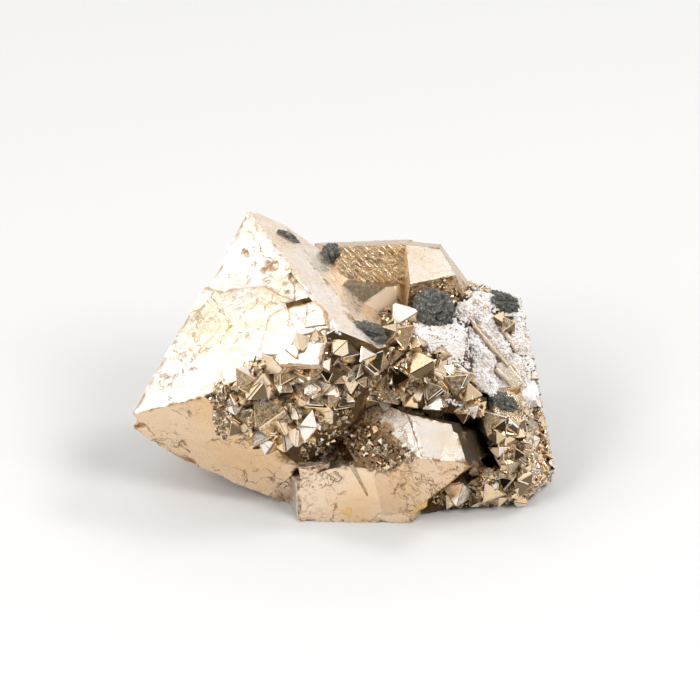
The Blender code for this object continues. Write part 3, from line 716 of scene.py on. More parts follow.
BLOCKS = {     # middle, half size, and a point of each flat face with the way that it looks
    "core": ((10, -8, -26), 42, [
        ((0, -20, -6.0), (0.05, 0.12, 0.99)),
        ((15, 1, -0.9), (0.42, 0.42, 0.80)),
        ((18.0, 6.6, -6), (-0.45, 0.85, 0.25)),
        ((36.1, 0, -14), (0.98, 0.18, 0.0)),
        ((29, 11.4, -14), (0.20, 0.97, 0.12)),
        ((8, 14, -24), (-0.05, 0.95, 0.30)),
        ((33, -29.5, -8), (0.20, -0.90, 0.30)),
        ((37.6, -27.2, -8), (0.75, -0.62, 0.10)),
        ((5, 10, -38), (0.10, 0.62, -0.78)),
        ((30, -8, -31), (0.55, 0.42, -0.72)),
        ((0, 4, -36), (-0.30, 0.72, -0.62)),
        ((8, -26, -34), (0.15, 0.05, -0.98)),
        ((-16, -10, -25), (-0.95, 0.10, -0.30)),
        ((-11.5, -28, -9), (-0.70, -0.30, 0.65)),
    ]),
    "middle": ((12, -7, -8), 16, [
        ((12, -6, 1.6), (0.04, 0.06, 0.99)),
        ((-4.0, 0, 0), (-0.98, 0.10, 0.10)),
        ((9.5, -11.2, 0), (-0.15, -0.98, 0.12)),
        ((15.0, -13.0, 0), (-0.35, -0.93, 0.12)),
        ((24.6, -8, 0), (0.94, 0.20, 0.25)),
        ((12, 5.0, -2), (0.10, 0.90, 0.42)),
        ((5.0, 3.4, -2), (-0.50, 0.82, 0.28)),
        ((12, -7, -20), (0, 0, -1)),
    ]),
    "right": ((32, -18, -10), 16, [
        ((31, -14, -0.6), (0.12, 0.40, 0.91)),
        ((31, -21, -0.2), (0.15, -0.52, 0.84)),
        ((32.6, -21, -0.7), (0.45, -0.10, 0.88)),
        ((27.2, -20, -3), (-0.92, 0.10, 0.38)),
        ((37.6, -20, -8), (0.95, 0.16, 0.26)),
        ((32, -30.6, -8), (0.16, -0.94, 0.28)),
        ((36.8, -28.0, -8), (0.75, -0.62, 0.22)),
        ((30, -8.0, -4), (-0.10, 0.90, 0.42)),
        ((32, -18, -16), (0, 0, -1)),
    ]),
    "front": ((13, -22, -4), 17, [
        ((13.6, -21.4, 8.0), (-0.30, 0.42, 0.857)),
        ((13.6, -21.4, 8.0), (-0.586, 0.065, 0.808)),
        ((13.6, -21.4, 8.0), (-0.35, -0.50, 0.79)),
        ((-2.0, -16.6, -3.0), (-0.88, -0.40, 0.20)),
        ((22.9, -19.6, 8.0), (0.86, 0.42, 0.28)),
        ((9.2, -11.6, 0.0), (0.30, 0.94, 0.12)),
        ((3.6, -11.8, 0.0), (-0.45, 0.88, 0.12)),
        ((17.2, -28.4, 4.0), (0.60, -0.79, 0.06)),
        ((8.0, -33.2, -3.0), (0.10, -0.96, 0.20)),
        ((13, -22, -18), (0, 0, -1)),
    ]),
    "lower": ((2, -30, -10), 18, [
        ((1.2, -23.6, 2.4), (-0.03, -0.475, 0.88)),
        ((-11.1, -29.0, -3.0), (-0.96, -0.16, 0.22)),
        ((-6.0, -24.2, 1.0), (-0.30, 0.94, 0.16)),
        ((1.5, -23.2, 1.0), (0.12, 0.98, 0.14)),
        ((13.4, -34.0, -5.0), (0.80, -0.45, 0.30)),
        ((2, -30, -26), (0, 0, -1)),
    ]),
    "upper_right": ((17, 13, -20), 15, [
        ((12.4, 13.4, -6.2), (0.10, 0.76, 0.64)),
        ((12.4, 13.2, -6.2), (0.40, -0.22, 0.89)),
        ((11.2, 17.0, -14.0), (-0.98, 0.10, 0.16)),
        ((17.0, 21.1, -18.0), (0.08, 0.99, 0.10)),
        ((21.4, 17.0, -20.0), (0.80, 0.58, 0.10)),
        ((25.2, 10.2, -20.0), (0.93, 0.30, 0.20)),
        ((21.0, 7.0, -14.0), (0.30, -0.94, 0.10)),
        ((17, 13, -30), (0.30, 0.34, -0.89)),
    ]),
    "upper_back": ((4, 13, -27), 14, [
        ((4.0, 17.0, -16.5), (-0.06, 0.22, 0.97)),
        ((3.0, 21.5, -20.0), (-0.03, 0.99, 0.10)),
        ((-5.8, 19.0, -20.0), (-0.92, 0.30, 0.25)),
        ((12.6, 20.5, -24.0), (0.98, 0.14, 0.10)),
        ((4, 15, -35), (-0.12, 0.50, -0.86)),
    ]),
    "under_ledge": ((-17, -27, -11), 9, [
        ((-15, -27, -7.3), LOW_FACE),
        ((-12, -31.4, -9), (-0.39, -0.92, 0.0)),
        ((-10.2, -27, -9), (0.99, 0.0, 0.1)),
        ((-25.4, -25.2, -9), (-0.85, 0.50, 0.0)),
        ((-15, -27, -13), (0.10, -0.30, -0.95)),
    ]),
    "notch": ((4, 9, -16), 9, [
        ((1.4, 8.6, -9.2), (-0.16, 0.02, 0.98)),
        ((1.4, 8.6, -9.2), (0.32, -0.61, 0.73)),
        ((3.0, 13.4, -11), (0.03, 0.97, 0.20)),
        ((10.0, 11.0, -12.0), (0.95, 0.10, 0.30)),
        ((-0.8, 11.0, -12.0), (-0.85, -0.45, 0.25)),
        ((5.0, 4.6, -9.0), (0.25, -0.95, 0.20)),
        ((4, 9, -24), (0, 0, -1)),
    ]),
}
LEDGES = [(1.2, 17.2, -4.5), (2.4, 14.9, 0.6)]     # how far proud, upper edge, left end
SLAB_PROUD = 0.35
SEAM = [(-0.2, -22.9), (0.7, -22.8), (3.7, -28.9), (3.4, -29.3)]     # where two crystals meet
SEAM_PROUD = 0.20
RUST_PROUD = 0.09
RUST_SPOTS = [
    [(-2.6, -33.0), (-2.2, -32.0), (-0.8, -31.4), (0.4, -31.8), (0.2, -33.2)],
    [(6.0, -33.2), (6.3, -32.4), (8.2, -32.6), (8.6, -33.2)],
    [(10.6, -32.8), (13.0, -31.2), (15.6, -30.0), (15.4, -31.4), (13.4, -32.8)],
]
LOWER_STEPS = [   # broken steps on the lower crystal's corner: height, outline
    (0.40, [(-10.4, -23.2), (-4.0, -22.8), (-4.8, -24.4), (-7.6, -25.0), (-9.8, -26.0)]),
    (0.75, [(-10.0, -23.2), (-6.2, -22.9), (-7.4, -23.9), (-9.6, -24.6)]),
]
CAVITY = ((24.6, -18.4, -2), 11, [     # the dark hole beside the front crystal
    ((22.6, -18.4, 0), (-0.90, -0.42, 0.0)),
    ((27.4, -18.4, 0), (0.88, 0.46, 0.0)),
    ((24.6, -14.2, 0), (0.25, 0.96, 0.0)),
    ((24.6, -23.0, 0), (-0.20, -0.97, 0.0)),
])


def ledges():
    """The raised ledges on the scratched block."""
    at, half, (front, _, left, right, _) = BLOCKS["upper_back"]
    made = []
    for step, (out, top, end) in enumerate(LEDGES):
        raised = Vector(front[0]) + Vector((0, 0, out))
        right_end = Vector(right[0]) - Vector((0.5 + 0.4 * step, 0, 0))
        made.append(block(at, half, [
            (raised, front[1]), ((0, top, 0), (-0.06, 0.99, 0.10)), ((end, 0, 0), left[1]),
            (right_end, right[1]), ((0, 0, -24 - step), (0, 0, -1))]))
    return made


def build_block(name, finishes, grain, wave, chip, seed, more=(), **looks):
    """One weathered block, with what belongs to it, as a piece."""
    forms = [block(*BLOCKS[name]), *more]
    for step, form in enumerate(forms):
        stand(form)
        weather(form, grain, wave, chip, seed + step, **looks)
    return place_piece(f"{name}_crystal", joined(forms), finishes, SMOOTH_BELOW)


def front_slab():
    """The right half of the front crystal's bright face, a little proud and turned."""
    at, half, faces = BLOCKS["front"]
    corner = Vector(faces[0][0])
    return block(at, half, [
        (corner + Vector((0, 0, SLAB_PROUD)), (-0.24, 0.40, 0.88)),
        (corner - Vector(TAN_FACE) * 0.2, TAN_FACE),
        ((12.4, -17.0, 0), (-0.96, -0.27, 0.05)),
        ((23.0, -18.0, 3.0), (0.86, 0.42, 0.28)),
        ((16.0, -13.2, 0), (0.20, 0.97, 0.10)),
        ((16.6, -27.4, 4.0), (0.60, -0.79, 0.06)),
        ((0, -24.5, 0), (0, -1, 0)),
        ((0, 0, 1.0), (0, 0, -1)),
    ])


BRIGHT_FACE, ROUGH_FACE, TAN_FACE, _, HOLLOW_FACE = (looks for _, looks in BLOCKS["front"][2][:5])
PALE_FACE, SPECKLED_FACE = (looks for _, looks in BLOCKS["upper_right"][2][:2])
NOTCH_FACES = [looks for _, looks in BLOCKS["notch"][2][:2]]
LOWER_POINT, LOWER_LOOK = BLOCKS["lower"][2][0]

matrix = build_block("core", (DARK,), 1.0, 0.5, 0.9, 11.0)
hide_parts("pyrite_cluster")
# The cavity's walls, here and on the right crystal, and the front crystal's face into it are painted black
# shade.
cut_out(matrix, block(*CAVITY), PAINTED_SHADE_WALL)
build_block("middle", (DARK,), 0.8, 0.4, 0.6, 12.0)
right_piece = build_block("right", (SPECKLED,), 0.7, 0.6, 0.9, 13.0)
cut_out(right_piece, block(*CAVITY), PAINTED_SHADE_WALL)
# The front crystal's upper and lower faces take a lighter and a tan copy of the pyrite: painted light.
build_block(
    "front", (BRIGHT, SPECKLED, TAN, PAINTED_SHADE_WALL), 0.5, 0.08, 0.4, 14.0, [front_slab()],
    rough=[(ROUGH_FACE, 0.30, 0.95)], sides=(BRIGHT_FACE, ROUGH_FACE, TAN_FACE, HOLLOW_FACE))
steps = [plate(height, outline, LOWER_LOOK, LOWER_POINT) for height, outline in LOWER_STEPS]
# The lower crystal's top and left side take darker and paler copies of the pyrite by the way they look:
# painted light.
build_block(
    "lower", (STAINED, PALE), 0.5, 0.08, 0.6, 15.0, steps,
    layers=0.05, sides=((0, -0.3, 0.9), (-1, 0, 0.2)), rim=0.35)
seam = plate(SEAM_PROUD, SEAM, LOWER_LOOK, LOWER_POINT)
stand(seam)
weather(seam, 0.4, 0.05, 0.1, 21.0, rim=0.45)
place_piece("seam", seam, (SPECKLED,), SMOOTH_BELOW)
rust = [plate(RUST_PROUD, outline, LOWER_LOOK, LOWER_POINT) for outline in RUST_SPOTS]
for step, form in enumerate(rust):
    weather(form, 0.3, 0.02, 0.3, 22.0 + step, rim=0.4)
place_piece("rust_spots", joined(rust), (RUSTED,), SMOOTH_BELOW)
build_block("under_ledge", (TAN,), 0.6, 0.2, 1.0, 18.0)
build_block(
    "upper_right", (PALE, SPECKLED, GOLD), 0.6, 0.06, 0.3, 16.0,
    rough=[(SPECKLED_FACE, 0.35, 0.40)], sides=(PALE_FACE, SPECKLED_FACE, (0.08, 0.99, -0.10)))
build_block("upper_back", (GOLD,), 0.75, 0.12, 0.4, 17.0, ledges(), layers=0.05)
# The notch's near face is painted a dark reflection and its lower face a pale one.
build_block("notch", (PAINTED_DARK, PAINTED_PALE), 0.5, 0.05, 0.2, 20.0, sides=NOTCH_FACES)


# ---------------------------------------------------------------- small crystals
# Hundreds of octahedra of 1 to 8 mm, grown on the large crystals and on each other: some set
# to show a clear face, the rest spread at random over the druses of both sides.

SHOWN = [     # where each shows, how far it stands out, the way a face looks, reach, spin in degrees
    ((-16.8, -12.0), 2.8, (-0.10, 0.05, 0.99), 5.6, 20),
    ((-9.6, -12.8), 2.4, (-0.42, 0.50, 0.75), 3.1, 40),
    ((-7.6, -7.6), 2.4, (-0.10, -0.45, 0.88), 3.0, 10),
    ((-9.1, -3.8), 2.6, (-0.40, 0.46, 0.79), 3.4, 75),
    ((-12.5, -4.7), 2.0, (0.10, 0.18, 0.98), 3.4, 15),
    ((-14.0, -6.6), 2.2, (-0.45, 0.45, 0.77), 2.6, 55),
    ((-20.0, -7.3), 1.6, (0.30, 0.05, 0.95), 3.0, 80),
    ((-22.4, -10.8), 1.3, (0.36, -0.02, 0.93), 2.8, 35),
    ((-20.8, -13.3), 2.0, (-0.30, -0.20, 0.93), 2.8, 60),
    ((-22.9, -16.0), 1.5, (-0.12, -0.52, 0.84), 2.6, 5),
    ((-19.2, -15.6), 1.8, (0.50, -0.30, 0.80), 2.6, 30),
    ((-8.8, 1.7), 1.6, (0.20, 0.42, 0.88), 3.0, 25),
    ((-11.1, 0.2), 1.8, (-0.42, 0.48, 0.77), 2.8, 65),
    ((-5.9, 2.0), 1.6, (-0.36, 0.52, 0.77), 2.4, 90),
    ((-5.6, -1.5), 2.2, (-0.42, 0.52, 0.74), 2.6, 0),
    ((-4.6, -3.9), 2.0, (0.05, -0.10, 0.99), 3.4, 50),
    ((-2.8, -9.4), 1.8, (0.10, -0.18, 0.98), 3.0, 15),
    ((-4.8, -13.0), 1.8, (-0.18, -0.55, 0.82), 3.4, 70),
    ((-10.5, -17.2), 1.4, (-0.10, -0.52, 0.85), 3.2, 100),
    ((-16.2, -17.6), 1.4, (-0.10, -0.60, 0.79), 2.8, 35),
    ((-0.2, -0.1), 1.8, (0.10, 0.28, 0.95), 2.9, 0),
    ((5.3, 0.2), 2.0, (0.08, 0.30, 0.95), 3.0, 45),
    ((0.8, -4.7), 1.8, (0.15, 0.00, 0.99), 2.6, 20),
    ((4.4, -2.4), 2.2, (-0.10, 0.10, 0.99), 3.6, 65),
    ((4.5, -5.8), 1.8, (0.30, 0.10, 0.95), 2.8, 35),
    ((9.7, -5.3), 2.2, (0.05, -0.05, 1.00), 3.2, 15),
    ((10.3, -2.7), 2.4, (-0.40, 0.50, 0.77), 2.2, 80),
    ((10.5, 3.0), 3.0, (0.12, 0.24, 0.96), 4.0, 55),
    ((7.9, 2.8), 2.4, (-0.45, -0.05, 0.89), 3.0, 30),
    ((13.8, -2.2), 3.6, (-0.36, 0.47, 0.80), 4.2, 12),
    ((18.2, -3.6), 2.0, (0.20, 0.30, 0.93), 3.0, 70),
    ((16.8, -5.1), 2.2, (-0.12, -0.42, 0.90), 2.6, 25),
    ((21.2, -6.5), 2.6, (0.05, -0.08, 1.00), 3.4, 50),
    ((24.4, -8.6), 2.0, (0.42, 0.15, 0.89), 3.0, 5),
    ((16.5, -10.8), 2.0, (-0.38, 0.48, 0.79), 3.0, 95),
    ((11.2, -9.4), 1.8, (-0.38, 0.50, 0.78), 2.6, 40),
    ((24.5, -12.0), 1.8, (-0.08, -0.40, 0.91), 2.7, 60),
    ((19.0, 8.5), 2.4, (-0.30, 0.52, 0.80), 3.2, 45),
    ((10.4, 7.4), 5.4, (-0.26, 0.62, 0.74), 5.0, 20),
    ((28.4, -14.4), 2.0, (-0.16, 0.10, 0.98), 4.2, 30),
    ((32.4, -15.1), 1.2, (-0.05, -0.40, 0.92), 2.2, 0),
    ((20.8, -28.6), 3.2, (-0.55, -0.15, 0.82), 3.8, 55),
    ((28.4, -28.8), 2.0, (-0.05, -0.50, 0.86), 3.8, 10),
    ((35.0, -27.4), 1.4, (0.05, -0.46, 0.89), 3.2, 35),
    ((25.5, -27.1), 2.0, (0.10, 0.02, 0.99), 2.6, 75),
    ((25.9, -23.6), 1.6, (0.10, 0.12, 0.99), 2.6, 100),
    ((34.6, -24.7), 1.2, (-0.30, 0.40, 0.87), 2.4, 15),
    ((10.4, -12.0), 1.2, (-0.36, 0.50, 0.79), 2.6, 25),
    ((13.8, -13.0), 1.4, (0.20, 0.16, 0.96), 2.8, 60),
    ((17.6, -14.0), 1.2, (-0.20, -0.40, 0.89), 2.6, 85),
    ((7.0, -11.0), 1.0, (-0.10, 0.20, 0.97), 2.4, 45),
    ((31.6, 5.4), 5.4, (-0.30, 0.10, 0.95), 2.3, 20),
    ((30.2, 6.8), 5.0, (-0.10, 0.46, 0.88), 1.8, 70),
    ((-2.6, 1.2), 2.0, (-0.36, 0.50, 0.79), 2.8, 30),
    ((3.2, -0.8), 2.2, (0.10, 0.36, 0.93), 2.7, 10),
    ((7.2, -0.6), 2.0, (-0.24, 0.10, 0.96), 2.6, 50),
]
SPREAD = [     # middle and halves of each stretch, spacing, reach range
    ((-14.5, -10.0), (8.5, 8.5), 2.9, (2.1, 3.7)),
    ((-5.0, -6.0), (6.0, 8.0), 2.8, (2.0, 3.5)),
    ((10.5, -4.0), (13.5, 6.6), 2.9, (2.0, 3.5)),
    ((24.0, -9.5), (5.0, 5.0), 2.7, (1.7, 2.6)),
    ((33.0, -20.0), (6.0, 9.5), 2.7, (1.6, 2.7)),
    ((28.0, -29.5), (9.0, 2.0), 2.7, (1.6, 2.4)),
]
FAR_SPREAD = [
    ((12.0, 14.0), (21.0, 12.0), 4.6, (2.8, 4.6)),
]
FAR_LARGE = [     # place in the specimen's frame, reach, turn about X and about Z
    ((19.0, 18.0, 11.0), 13.0, 25, 20),
    ((32.0, 10.0, 13.0), 9.5, 50, 65),
    ((3.0, 24.0, 20.0), 9.0, 15, 50),
    ((25.0, 16.0, 25.0), 8.0, 70, 10),
    ((8.0, 24.0, 7.0), 8.0, 35, 80),
]
LUMPS = {     # sphalerite: where each shows, its level, radii, spin and seed
    "sphalerite_large": ((16.7, 7.9), -5.0, (4.0, 4.2, 3.6), 20, 1.0),
    "sphalerite_middle": ((2.8, 2.9), 4.2, (4.3, 2.7, 2.8), -5, 2.0),
    "sphalerite_low": ((31.0, -10.8), -3.4, (3.2, 2.1, 2.2), -25, 3.0),
    "sphalerite_edge": ((31.2, 9.6), -13.8, (3.2, 1.9, 2.4), -30, 4.0),
    "sphalerite_flat": ((-12.6, 22.6), -13.1, (2.6, 1.2, 1.3), -33, 5.0),
    "sphalerite_back": ((-3.7, 19.6), -18.6, (2.0, 2.2, 2.4), 0, 6.0),
}
FAR_BLUNT = 0.92          # how much of its reach each tip of a large far crystal keeps
SOFTENED = 0.035          # how much is taken off the edges of a small crystal of reach 1
ROW_STEP = 0.87           # how far apart the rows of a triangular grid of spacing 1 are
JITTER = 0.3              # how far each place is moved off the grid, as a share of the spacing
SHOWN_STEP = 0.6          # how many mm a shown crystal stands out for each unit of its level
SORT_WAY = Vector((1.0, 2.3, 5.1))   # faces that cutting leaves in no fixed order are sorted by it
UNSETTLED = 7             # how many faces of one with its tips cut have no fixed order
GROWN_STEPS = 2           # how many parallel growths make one small crystal
GROWN_LESS = 0.14         # how much smaller the second growth is
GROWN_SLIP = 0.20         # how far it may lie to a side, as a share of the reach
SUNK = 0.25               # how much of its reach a small crystal is sunk in what it grows on
CRUST_EDGES = [           # the quartz crust: a point of each side, and the way that it looks
    ((21.5, -4.2), (-0.565, -0.825)),
    ((18.0, 6.8), (-0.53, 0.85)),
    ((29.0, 11.2), (0.10, 0.99)),
    ((36.5, 0.0), (0.98, 0.19)),
    ((34.0, -11.2), (-0.07, -1.0)),
]


def facing_turn(looks, spin):
    """A turn that sets one face of an octahedron to look one way."""
    looks = Vector(looks).normalized()
    stood = Vector((1, 1, 1)).rotation_difference(Vector((0, 0, 1))).to_matrix().to_4x4()
    spun = Matrix.Rotation(math.radians(spin), 4, "Z")
    return Vector((0, 0, 1)).rotation_difference(looks).to_matrix().to_4x4() @ spun @ stood


def far_turn(about_x, about_z):
    """How a large crystal on the far side is turned."""
    turn = Matrix.Rotation(math.radians(about_z), 4, "Z")
    return turn @ Matrix.Rotation(math.radians(about_x), 4, "X")


def tree_of(named_forms):
    """A search tree over some named forms, which are left whole, and the name of each of its faces."""
    owners = [name for name, form in named_forms for _ in form.faces]
    whole = joined([form.copy() for _, form in named_forms])
    made = BVHTree.FromBMesh(whole)
    whole.free()
    return made, owners


def grid(middle, halves, spacing, draw):
    """Places of a jittered triangular grid that lie inside an ellipse."""
    rows = int(halves[1] / spacing / ROW_STEP) + 1
    columns = int(halves[0] / spacing) + 1
    for row in range(-rows, rows + 1):
        for column in range(-columns, columns + 1):
            x = spacing * (column + 0.5 * (row % 2) + draw.uniform(-JITTER, JITTER))
            y = spacing * (ROW_STEP * row + draw.uniform(-JITTER, JITTER))
            if (x / halves[0]) ** 2 + (y / halves[1]) ** 2 < 1.0:
                yield middle[0] + x, middle[1] + y


def bare(place, reach):
    """Whether no other mineral sits where a small crystal of some reach would grow."""
    for (u, v), _, radii, _, _ in LUMPS.values():
        if math.hypot(place.x - u, place.y - v) < max(radii) + 0.5 * reach:
            return False
    return any((place.x - u) * x + (place.y - v) * y > -0.4 * reach for (u, v), (x, y) in CRUST_EDGES)


def in_cavity(spot):
    """Whether a spot lies in the mouth of the dark cavity."""
    return all((spot - Vector(point)).dot(Vector(looks)) < 0.4 for point, looks in CAVITY[2])


def any_turn(draw):
    """A turn about an axis drawn at random."""
    axis = Vector([draw.gauss(0, 1) for _ in range(3)]).normalized()
    return Matrix.Rotation(draw.uniform(0, math.tau), 4, axis)


def spread(tree, draw, areas, start_of, inward):
    """Places, reaches and turns of small crystals sunk into the body over some areas."""
    crystals = []
    for middle, halves, spacing, (least, most) in areas:
        for place in grid(middle, halves, spacing, draw):
            reach = draw.uniform(least, most)
            turn = any_turn(draw)
            hit = tree.ray_cast(start_of(*place), inward)[0]
            if hit and bare(hit, reach) and not in_cavity(hit):
                crystals.append((hit + inward * SUNK * reach, reach, turn))
    return crystals


def settled(face):
    """A face's place in an order that is the same in every run: the faces that cutting leaves
    in no fixed order go by how many axes they lean along, and then by the way they look."""
    if face.index >= UNSETTLED:
        return face.index
    middle = face.calc_center_median()
    return sum(abs(side) > 0.1 for side in middle) + 0.01 * middle.dot(SORT_WAY)


def blunted(share):
    """An octahedron of reach 1 with softened edges and its tips cut square."""
    bm = sharp_octahedron(1.0)
    bmesh.ops.bevel(
        bm, geom=bm.edges[:], offset=SOFTENED, segments=1, profile=0.5, affect="EDGES", material=-1)
    if max(vert.co.x for vert in bm.verts) > share:
        cut_tips(bm, 1.0, share)
        bm.faces.index_update()
        bm.faces.sort(key=settled)
    return bm


def grown(at, reach, turn, draw):
    """One small crystal: a blunted octahedron with a smaller parallel growth beside it."""
    forms = []
    for step in range(GROWN_STEPS):
        share = 1.0 - GROWN_LESS * step
        slip = Vector()
        if step:
            slip = Vector([draw.uniform(-1, 1) for _ in range(3)]) * GROWN_SLIP * reach
        form = blunted(draw.uniform(0.82, 1.0))
        place = Matrix.Translation(Vector(at) + slip) @ turn @ Matrix.Scale(reach * share, 4)
        bmesh.ops.transform(form, matrix=place, verts=form.verts)
        form.verts.layers.float.new("stain_and_shade")
        forms.append(form)
    return forms


def vary_facets(piece, seed, tarnished=0.0):
    """Gives each facet a number of its own, by which the finish makes it bright or dull; facets that face
    the lamps are kept clear of dull and tarnished colour, which is painted light, and a share of the
    others is tarnished."""
    draws = np.random.default_rng(seed)
    count = len(piece.data.polygons)
    dulled = draws.random(count) < tarnished
    lots = np.where(dulled, draws.choice([0.05, 0.92], count), draws.random(count))
    for facet in piece.data.polygons:
        if max(facet.normal.dot(looks) for looks in LIT_WAYS) > 0.90:
            lots[facet.index] = 0.25 + 0.35 * lots[facet.index]
    piece.data.attributes.new("facet", "FLOAT", "FACE").data.foreach_set("value", lots)


LIT_WAYS = [(DISPLAY.to_3x3() @ Vector(looks)).normalized() for looks in (TOP_FACE, (0.2, 0.7, 0.68))]
BODIES = [
    ("giant", giant(GIANT_AT, GIANT_REACH)),
    ("giant", giant(UNDER_AT, UNDER_REACH, UNDER_INSET)),
    *[(name, block(*values)) for name, values in BLOCKS.items()],
    *[("ledge", form) for form in ledges()],
]
FAR_PLACED = [(TO_DISPLAY @ Vector(at), reach, far_turn(x, z)) for at, reach, x, z in FAR_LARGE]
BODY_TREE, _ = tree_of([*BODIES, *[("far", octahedron(*values, FAR_BLUNT)) for values in FAR_PLACED]])
TOWARDS_BODY = Vector((0, 0, -1))
FROM_BEHIND = Vector((0, -math.sin(LEAN), math.cos(LEAN)))
AWAY = 60      # a level that lies before the whole specimen
FAR_OFF = 80   # how far out rays from any other side start
DRAW = random.Random(15)
STEPS_DRAW = random.Random(7)

shown = []
for place, stands, looks, reach, spin in SHOWN:
    hit = BODY_TREE.ray_cast(Vector((*place, AWAY)), TOWARDS_BODY)[0]
    hit += Vector((0, 0, stands * SHOWN_STEP))
    centre = hit - Vector(looks).normalized() * reach / math.sqrt(3)
    shown += grown(centre, reach, facing_turn(looks, spin), STEPS_DRAW)

near = spread(BODY_TREE, DRAW, SPREAD, lambda u, v: Vector((u, v, AWAY)), TOWARDS_BODY)
near_forms = [form for crystal in near for form in grown(*crystal, STEPS_DRAW)]

far = FAR_PLACED + spread(
    BODY_TREE, DRAW, FAR_SPREAD, lambda x, z: TO_DISPLAY @ Vector((x, FAR_OFF, z)), FROM_BEHIND)
far_forms = [form for crystal in far for form in grown(*crystal, STEPS_DRAW)]
for form in shown + near_forms + far_forms:
    if stand(form):
        form.faces.sort(key=lambda face: face.calc_center_median().dot(SORT_WAY))


# ---------------------------------------------------------------- finer crystals
# Between and on the small crystals, every sheltered face is crusted with finer ones, from
# 1.5 mm down to a third of a millimetre.

WAYS = {   # the side that a stretch is seen from: right, up and inward directions
    "front": (Vector((1, 0, 0)), Vector((0, 1, 0)), Vector((0, 0, -1))),
    "back": (Vector((-1, 0, 0)), Vector((0, 0.866, 0.5)), Vector((0, -0.5, 0.866))),
    "right": (Vector((0, 0.5, -0.866)), Vector((0, 0.866, 0.5)), Vector((-1, 0, 0))),
}
MASSIVE = ("core", "middle", "right")
FINE_STRETCHES = [   # side, middle, halves, how many, reach range, and what they grow on
    ("front", (-25.4, -11.6), (2.2, 6.2), 420, (0.25, 0.75), ("giant", *MASSIVE)),
    ("front", (-13.6, -9.4), (9.4, 8.4), 900, (0.4, 1.2), ("giant", *MASSIVE)),
    ("front", (-5.0, -6.0), (7.0, 8.6), 700, (0.4, 1.2), ("giant", *MASSIVE)),
    ("front", (10.5, -3.0), (14.0, 9.0), 1600, (0.4, 1.3), MASSIVE),
    ("front", (33.0, -19.0), (7.5, 11.0), 1500, (0.4, 1.7), MASSIVE),
    ("front", (10.5, 6.5), (12.0, 6.0), 500, (0.5, 1.6), MASSIVE),
    ("front", (26.0, -29.5), (11.0, 3.0), 420, (0.3, 0.9), MASSIVE),
    ("front", (5.4, -19.2), (7.0, 6.5), 150, (0.35, 1.4), ("front",)),
    ("front", (21.0, 10.8), (6.5, 5.5), 200, (0.25, 0.6), ("upper_right",)),
    ("front", (-4.0, -18.0), (7.0, 6.0), 260, (0.3, 1.1), ("giant", *MASSIVE)),
    ("back", (-8.0, -12.0), (32.0, 21.0), 2200, (0.4, 1.6), MASSIVE),
    ("right", (9.0, -17.0), (25.0, 16.0), 2600, (0.5, 1.6), MASSIVE),
]
ROUGH_SIDES = {"front": ROUGH_FACE, "upper_right": SPECKLED_FACE}
STRETCH_LOBES = 0.6    # how lobed the edge of each stretch is
BLUNTED_FROM = 1.0     # crystals of this reach and more have softened edges
SHELTER = 4.5          # how far off a wall still shuts a spot in
CRUST_AT = Vector((24, 0, -7.1))
CRUST_OUT = Vector((0.42, 0.42, 0.80)).normalized()
CRUST_CLEAR = 7.0      # finer crystals keep this far off the crust's plane


def shut_in(tree, spot, looks):
    """How far a spot is shut in by what stands round it, from 0 to 1."""
    side = looks.orthogonal()
    ways = [looks * 0.5 + Matrix.Rotation(math.tau * step / 5, 3, looks) @ side for step in range(5)]
    met = [tree.ray_cast(spot + looks * 0.35, way.normalized(), SHELTER)[0] for way in [looks, *ways]]
    return sum(hit is not None for hit in met) / len(met)


def spot_in(draw, middle, halves, lobes=0.0):
    """A random spot of an ellipse, whose edge may be lobed."""
    (u, v), (half_u, half_v) = middle, halves
    angle, away = draw.uniform(0, math.tau), math.sqrt(draw.random())
    across, along = math.cos(angle), math.sin(angle)
    away *= 1.0 + lobes * noise.noise(Vector((2.2 * across, 2.2 * along, u)))
    return u + half_u * away * across, v + half_v * away * along


def fine_crystals(tree, owners, draw):
    """Places for the finer crystals, where rays from each side meet the specimen, and how shut in
    each place is."""
    for side, middle, halves, count, (least, most), grown_on in FINE_STRETCHES:
        right, up, inward = WAYS[side]
        for _ in range(count):
            u, v = spot_in(draw, middle, halves, STRETCH_LOBES)
            hit, looks, face, _ = tree.ray_cast(right * u + up * v - inward * FAR_OFF, inward)
            reach = least + (most - least) * draw.random() ** 1.6
            turn = any_turn(draw)
            if hit is None or owners[face] not in grown_on or in_cavity(hit):
                continue
            if not bare(hit, reach) and abs((hit - CRUST_AT).dot(CRUST_OUT)) < CRUST_CLEAR:
                continue
            rough_side = ROUGH_SIDES.get(owners[face])
            if rough_side and looks.dot(Vector(rough_side).normalized()) < 0.9:
                continue
            placed = Matrix.Translation(hit - looks * 0.2 * reach) @ turn @ Matrix.Scale(reach, 4)
            if (DISPLAY @ placed.translation).z > 0.9 * reach:
                yield placed, shut_in(tree, hit, looks)


def copies(shape, places):
    """One bmesh that holds a small shape once for each matrix, with painted shade as deep as its place is
    shut in.
    """
    points = np.array([(*vert.co, 1.0) for vert in shape.verts])
    corners = [[vert.index for vert in face.verts] for face in shape.faces]
    count = len(points)
    shape.free()
    moved = [(points @ np.array(matrix).T)[:, :3] for matrix, _ in places]
    firsts = [step * count for step in range(len(places))]
    faces = [[corner + first for corner in face] for first in firsts for face in corners]
    mesh = bpy.data.meshes.new("copies")
    mesh.from_pydata(np.concatenate(moved).tolist(), [], faces)
    stain_and_shade = mesh.attributes.new("stain_and_shade", "FLOAT", "POINT")
    stain_and_shade.data.foreach_set("value", np.repeat([shut for _, shut in places], count))
    whole = bmesh.new()
    whole.from_mesh(mesh)
    bpy.data.meshes.remove(mesh)
    return whole


